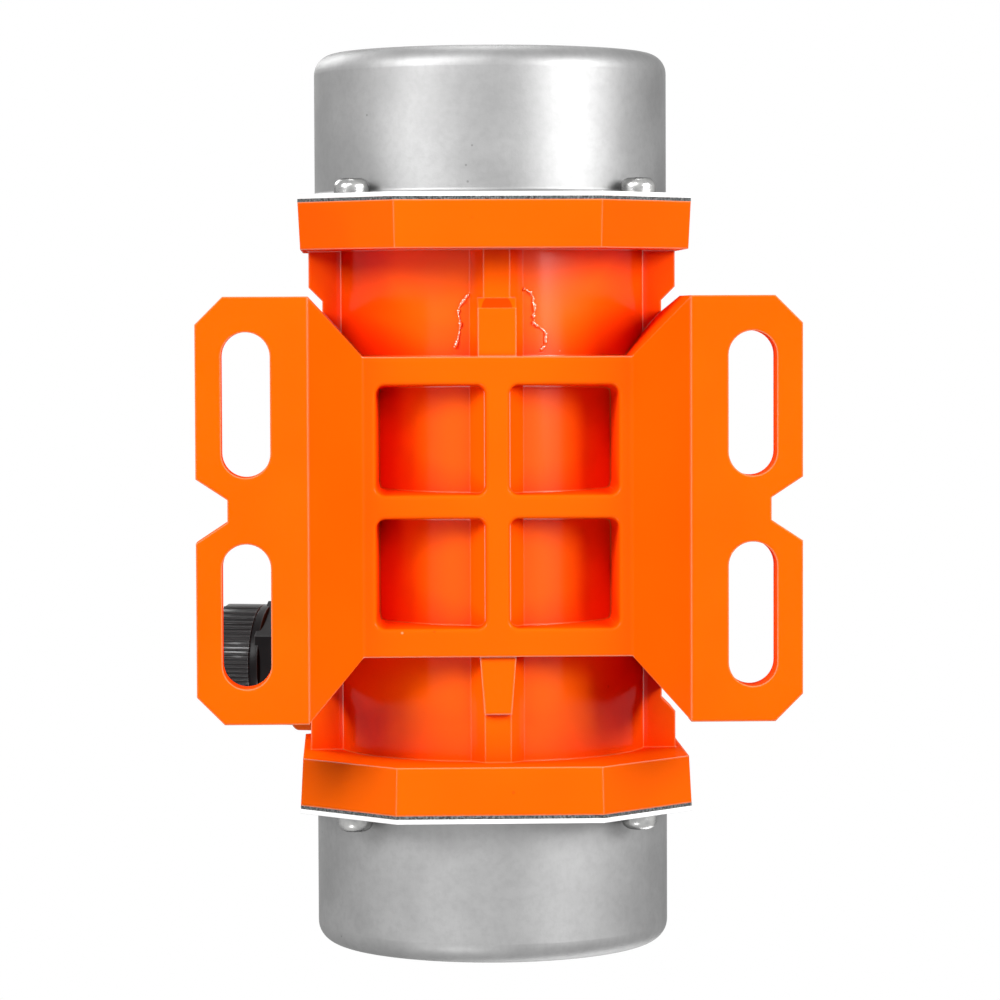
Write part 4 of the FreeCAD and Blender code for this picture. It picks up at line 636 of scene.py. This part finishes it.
def gland_nut():
    """Dome nut with fine ridges round its grip, a plain collar towards the box and a rounded mouth."""
    collar = [
        (NUT_START, NECK_RADIUS), (NUT_START, 13.0), (NUT_START + 0.4, 13.5), (NUT_START + 1.9, 13.55),
        (NUT_START + 2.3, 13.4),
    ]
    dome = [
        (GRIP_START, GRIP_RADIUS), (GRIP_END, GRIP_RADIUS), (NUT_END - 4.0, GRIP_RADIUS - 0.5),
        (NUT_END - 2.4, 11.9), (NUT_END - 1.0, 10.4), (NUT_END - 0.2, 9.3), (NUT_END, 8.7),
    ]
    mouth = [
        (NUT_END, MOUTH_RADIUS + 0.3), (NUT_END - 0.3, MOUTH_RADIUS), (NUT_END - 1.1, MOUTH_RADIUS),
        (15.0, NECK_RADIUS),
    ]
    piece = new_piece("ridged_gland_nut", lathe("ridged_gland_nut", collar + dome + mouth, 96))
    grow(piece, ridged_grip(black_nylon), Ridge_Count=27, Ridge_Pitch=1.0 * MM, Ridge_Half_Width=0.38 * MM,
         Grip_Radius=(GRIP_RADIUS - 0.1) * MM, Ridge_Start=GRIP_START * MM, Ridge_End=(GRIP_END + 0.2) * MM)
    on_gland_line(piece.data)
    crease(piece.data, 40)
    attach(piece, "motor_body")
    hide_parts("gland_dome_nut")


gland_nut()


# Seams left by the casting dies on the barrel, on both sides of the front keel pad

LEFT_SEAM_RUN = [
    (45.6, -5.6), (44.3, -6.4), (42.8, -7.7), (41.8, -8.1), (38.2, -7.7), (34.8, -8.4), (33.7, -8.8),
]
RIGHT_SEAM_RUN = [
    (46.2, 5.9), (45.5, 7.4), (44.2, 8.0), (40.6, 8.2), (38.9, 8.0), (37.0, 10.6), (34.2, 10.6), (33.0, 9.5),
]
SEAM_RISE = 0.15 * MM


def ragged_bead(material):
    """A bead along a line that swells and thins and wanders a little, as metal squeezed between dies does."""
    bead = Pattern("ragged_bead")
    thickness = bead.size("Thickness")
    wander = bead.size("Wander")
    grain = bead.size("Grain")
    seed = bead.size("Seed")
    line = bead.node("GeometryNodeMeshToCurve", None, {"Mesh": bead.start})["Curve"]
    sockets = {"Curve": line, "Length": 0.28 * MM}
    fine = bead.node("GeometryNodeResampleCurve", {"mode": "LENGTH"}, sockets)["Curve"]
    place = bead.node("GeometryNodeInputPosition")["Position"]
    settings = {"noise_dimensions": "4D"}
    sockets = {"Vector": place, "W": seed, "Scale": 1.0 / grain, "Detail": 2.0}
    rough = bead.node("ShaderNodeTexNoise", settings, sockets)["Color"]
    sockets = {"Vector": place, "W": seed + 7.0, "Scale": 1.0 / grain, "Detail": 1.0}
    swell = bead.node("ShaderNodeTexNoise", settings, sockets)["Fac"]
    sockets = {0: rough, 1: (0.5, 0.5, 0.5)}
    centred = bead.node("ShaderNodeVectorMath", {"operation": "SUBTRACT"}, sockets)["Vector"]
    sockets = {0: centred, "Scale": wander}
    shift = bead.node("ShaderNodeVectorMath", {"operation": "SCALE"}, sockets)["Vector"]
    moved = bead.node("GeometryNodeSetPosition", None, {"Geometry": fine, "Offset": shift})["Geometry"]
    width = thickness * swell.between(0.25, 0.75) + thickness * 0.15
    section = bead.node("GeometryNodeCurvePrimitiveCircle", None, {"Resolution": 7, "Radius": 1.0})["Curve"]
    sockets = {"Curve": moved, "Profile Curve": section, "Scale": width, "Fill Caps": True}
    bead.end(bead.node("GeometryNodeCurveToMesh", None, sockets)["Mesh"], material)
    return bead


def on_barrel(along, across):
    """A point just under the barrel's underside, in metres, from millimetres along and across."""
    drop = math.sqrt((BARREL_RADIUS + SEAM_RISE) ** 2 - (across * MM) ** 2)
    return (along * MM, across * MM, SHAFT_HEIGHT - drop)


def cast_seam(name, run, bead, seed):
    mesh = bpy.data.meshes.new(name)
    corners = [on_barrel(*point) for point in run]
    mesh.from_pydata(corners, [(index, index + 1) for index in range(len(corners) - 1)], [])
    piece = new_piece(name, mesh)
    grow(piece, bead, Thickness=0.5 * MM, Wander=1.1 * MM, Grain=1.0 * MM, Seed=seed)
    crease(piece.data, 80)
    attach(piece, "motor_body")


seam_bead = ragged_bead(seam_enamel)
cast_seam("front_left_die_seam", LEFT_SEAM_RUN, seam_bead, 3.0)
cast_seam("front_right_die_seam", RIGHT_SEAM_RUN, seam_bead, 8.0)


# Stage: floor, lamps and camera

def pale_floor():
    """A floor that shows from above only, so the view from under the feet sees past it."""
    finish = Finish("pale_floor")
    light = finish.node("ShaderNodeLightPath")
    back = finish.node("ShaderNodeNewGeometry")["Backfacing"]
    speck = finish.noise(40 * MM, 2.0)
    tone = finish.blend(speck, rgb(0.86, 0.86, 0.86), rgb(0.9, 0.9, 0.9))
    board = finish.node("ShaderNodeBsdfDiffuse", None, {"Color": tone})["BSDF"]
    open_air = finish.node("ShaderNodeBsdfTransparent")["BSDF"]
    seen = light["Is Camera Ray"] * (1.0 - back)
    surface = finish.node("ShaderNodeMixShader", None, {0: seen, 1: open_air, 2: board})["Shader"]
    finish.node("ShaderNodeOutputMaterial", None, {"Surface": surface})
    return finish.material


def add_floor(half_width):
    mesh = bpy.data.meshes.new("studio_floor")
    corners = [(-half_width, -half_width, 0), (half_width, -half_width, 0),
               (half_width, half_width, 0), (-half_width, half_width, 0)]
    mesh.from_pydata(corners, [], [(0, 1, 2, 3)])
    mesh.materials.append(pale_floor())
    new_piece("studio_floor", mesh)


def white_world(level):
    """White to the eye and in reflections, and a plain level of light on the object."""
    world = bpy.data.worlds.new("studio_world")
    bpy.context.scene.world = world
    world.use_nodes = True
    world.node_tree.nodes.clear()
    sky = NodeTree()
    sky.tree = world.node_tree
    ray = sky.node("ShaderNodeLightPath")
    seen = ray["Is Camera Ray"] + (ray["Is Glossy Ray"] + ray["Is Transmission Ray"])
    strength = sky.node("ShaderNodeMapRange", None, {"Value": seen, "To Min": level, "To Max": 1.0})["Result"]
    sockets = {"Color": rgb(1.0, 1.0, 1.0), "Strength": strength}
    backdrop = sky.node("ShaderNodeBackground", None, sockets)["Background"]
    sky.node("ShaderNodeOutputWorld", None, {"Surface": backdrop})


def soft_lamp(name, place, width, height, power):
    """An area lamp that points at the middle of the motor."""
    lamp = bpy.data.lights.new(name, "AREA")
    lamp.shape = "RECTANGLE"
    lamp.size = width
    lamp.size_y = height
    lamp.energy = power
    item = bpy.data.objects.new(name, lamp)
    item.location = place
    item.rotation_mode = "QUATERNION"
    item.rotation_quaternion = (Vector(place) - Vector(MOTOR_MIDDLE)).to_track_quat("Z", "Y")
    bpy.context.scene.collection.objects.link(item)


def camera_below(place, yaw, pitch, roll, lens):
    """A camera that looks up at the feet, with the front end of the shaft at the top of the picture."""
    upright = Matrix(((0, 1, 0), (1, 0, 0), (0, 0, 1)))
    turn = (Matrix.Rotation(math.radians(roll), 3, "Z") @ Matrix.Rotation(math.radians(pitch), 3, "X")
            @ Matrix.Rotation(math.radians(-yaw), 3, "Y") @ upright)
    right, up, forward = turn[0], turn[1], turn[2]
    data = bpy.data.cameras.new("camera")
    data.sensor_width = 36.0
    data.lens = lens
    data.clip_start = 0.05
    data.clip_end = 20.0
    camera = bpy.data.objects.new("camera", data)
    camera.matrix_world = Matrix.Translation(place) @ Matrix((right, up, -forward)).transposed().to_4x4()
    bpy.context.scene.collection.objects.link(camera)
    bpy.context.scene.camera = camera


FLOOR_HALF_WIDTH = 3.0
WORLD_LEVEL = 0.05
MOTOR_MIDDLE = (0.0, 0.0, 0.05)
# Name, place, width, height and watts of each lamp
LAMPS = [
    ("right_lamp_below", (0.34, 0.8, -0.6), 0.44, 0.74, 13.2),
    ("left_lamp_below", (0.5, -0.8, -0.62), 0.44, 0.5, 10.2),
    ("head_lamp_below", (0.85, -0.4, -0.9), 0.3, 0.3, 3.6),
    ("tail_lamp_below", (-0.85, -0.5, -0.9), 0.3, 0.3, 3.6),
    ("key_lamp_above", (0.7, -0.8, 1.1), 0.6, 0.6, 14.0),
    ("fill_lamp_above", (-1.1, 0.4, 0.8), 0.8, 0.8, 9.0),
    ("head_lamp_above", (1.1, 0.0, 0.55), 0.3, 0.6, 4.0),
]

add_floor(FLOOR_HALF_WIDTH)
white_world(WORLD_LEVEL)
for lamp in LAMPS:
    soft_lamp(*lamp)
camera_below(place=(0.04127, -0.03094, -0.83028), yaw=2.132, pitch=-2.699, roll=0.210, lens=143.37)

bpy.context.scene.view_settings.view_transform = "Standard"
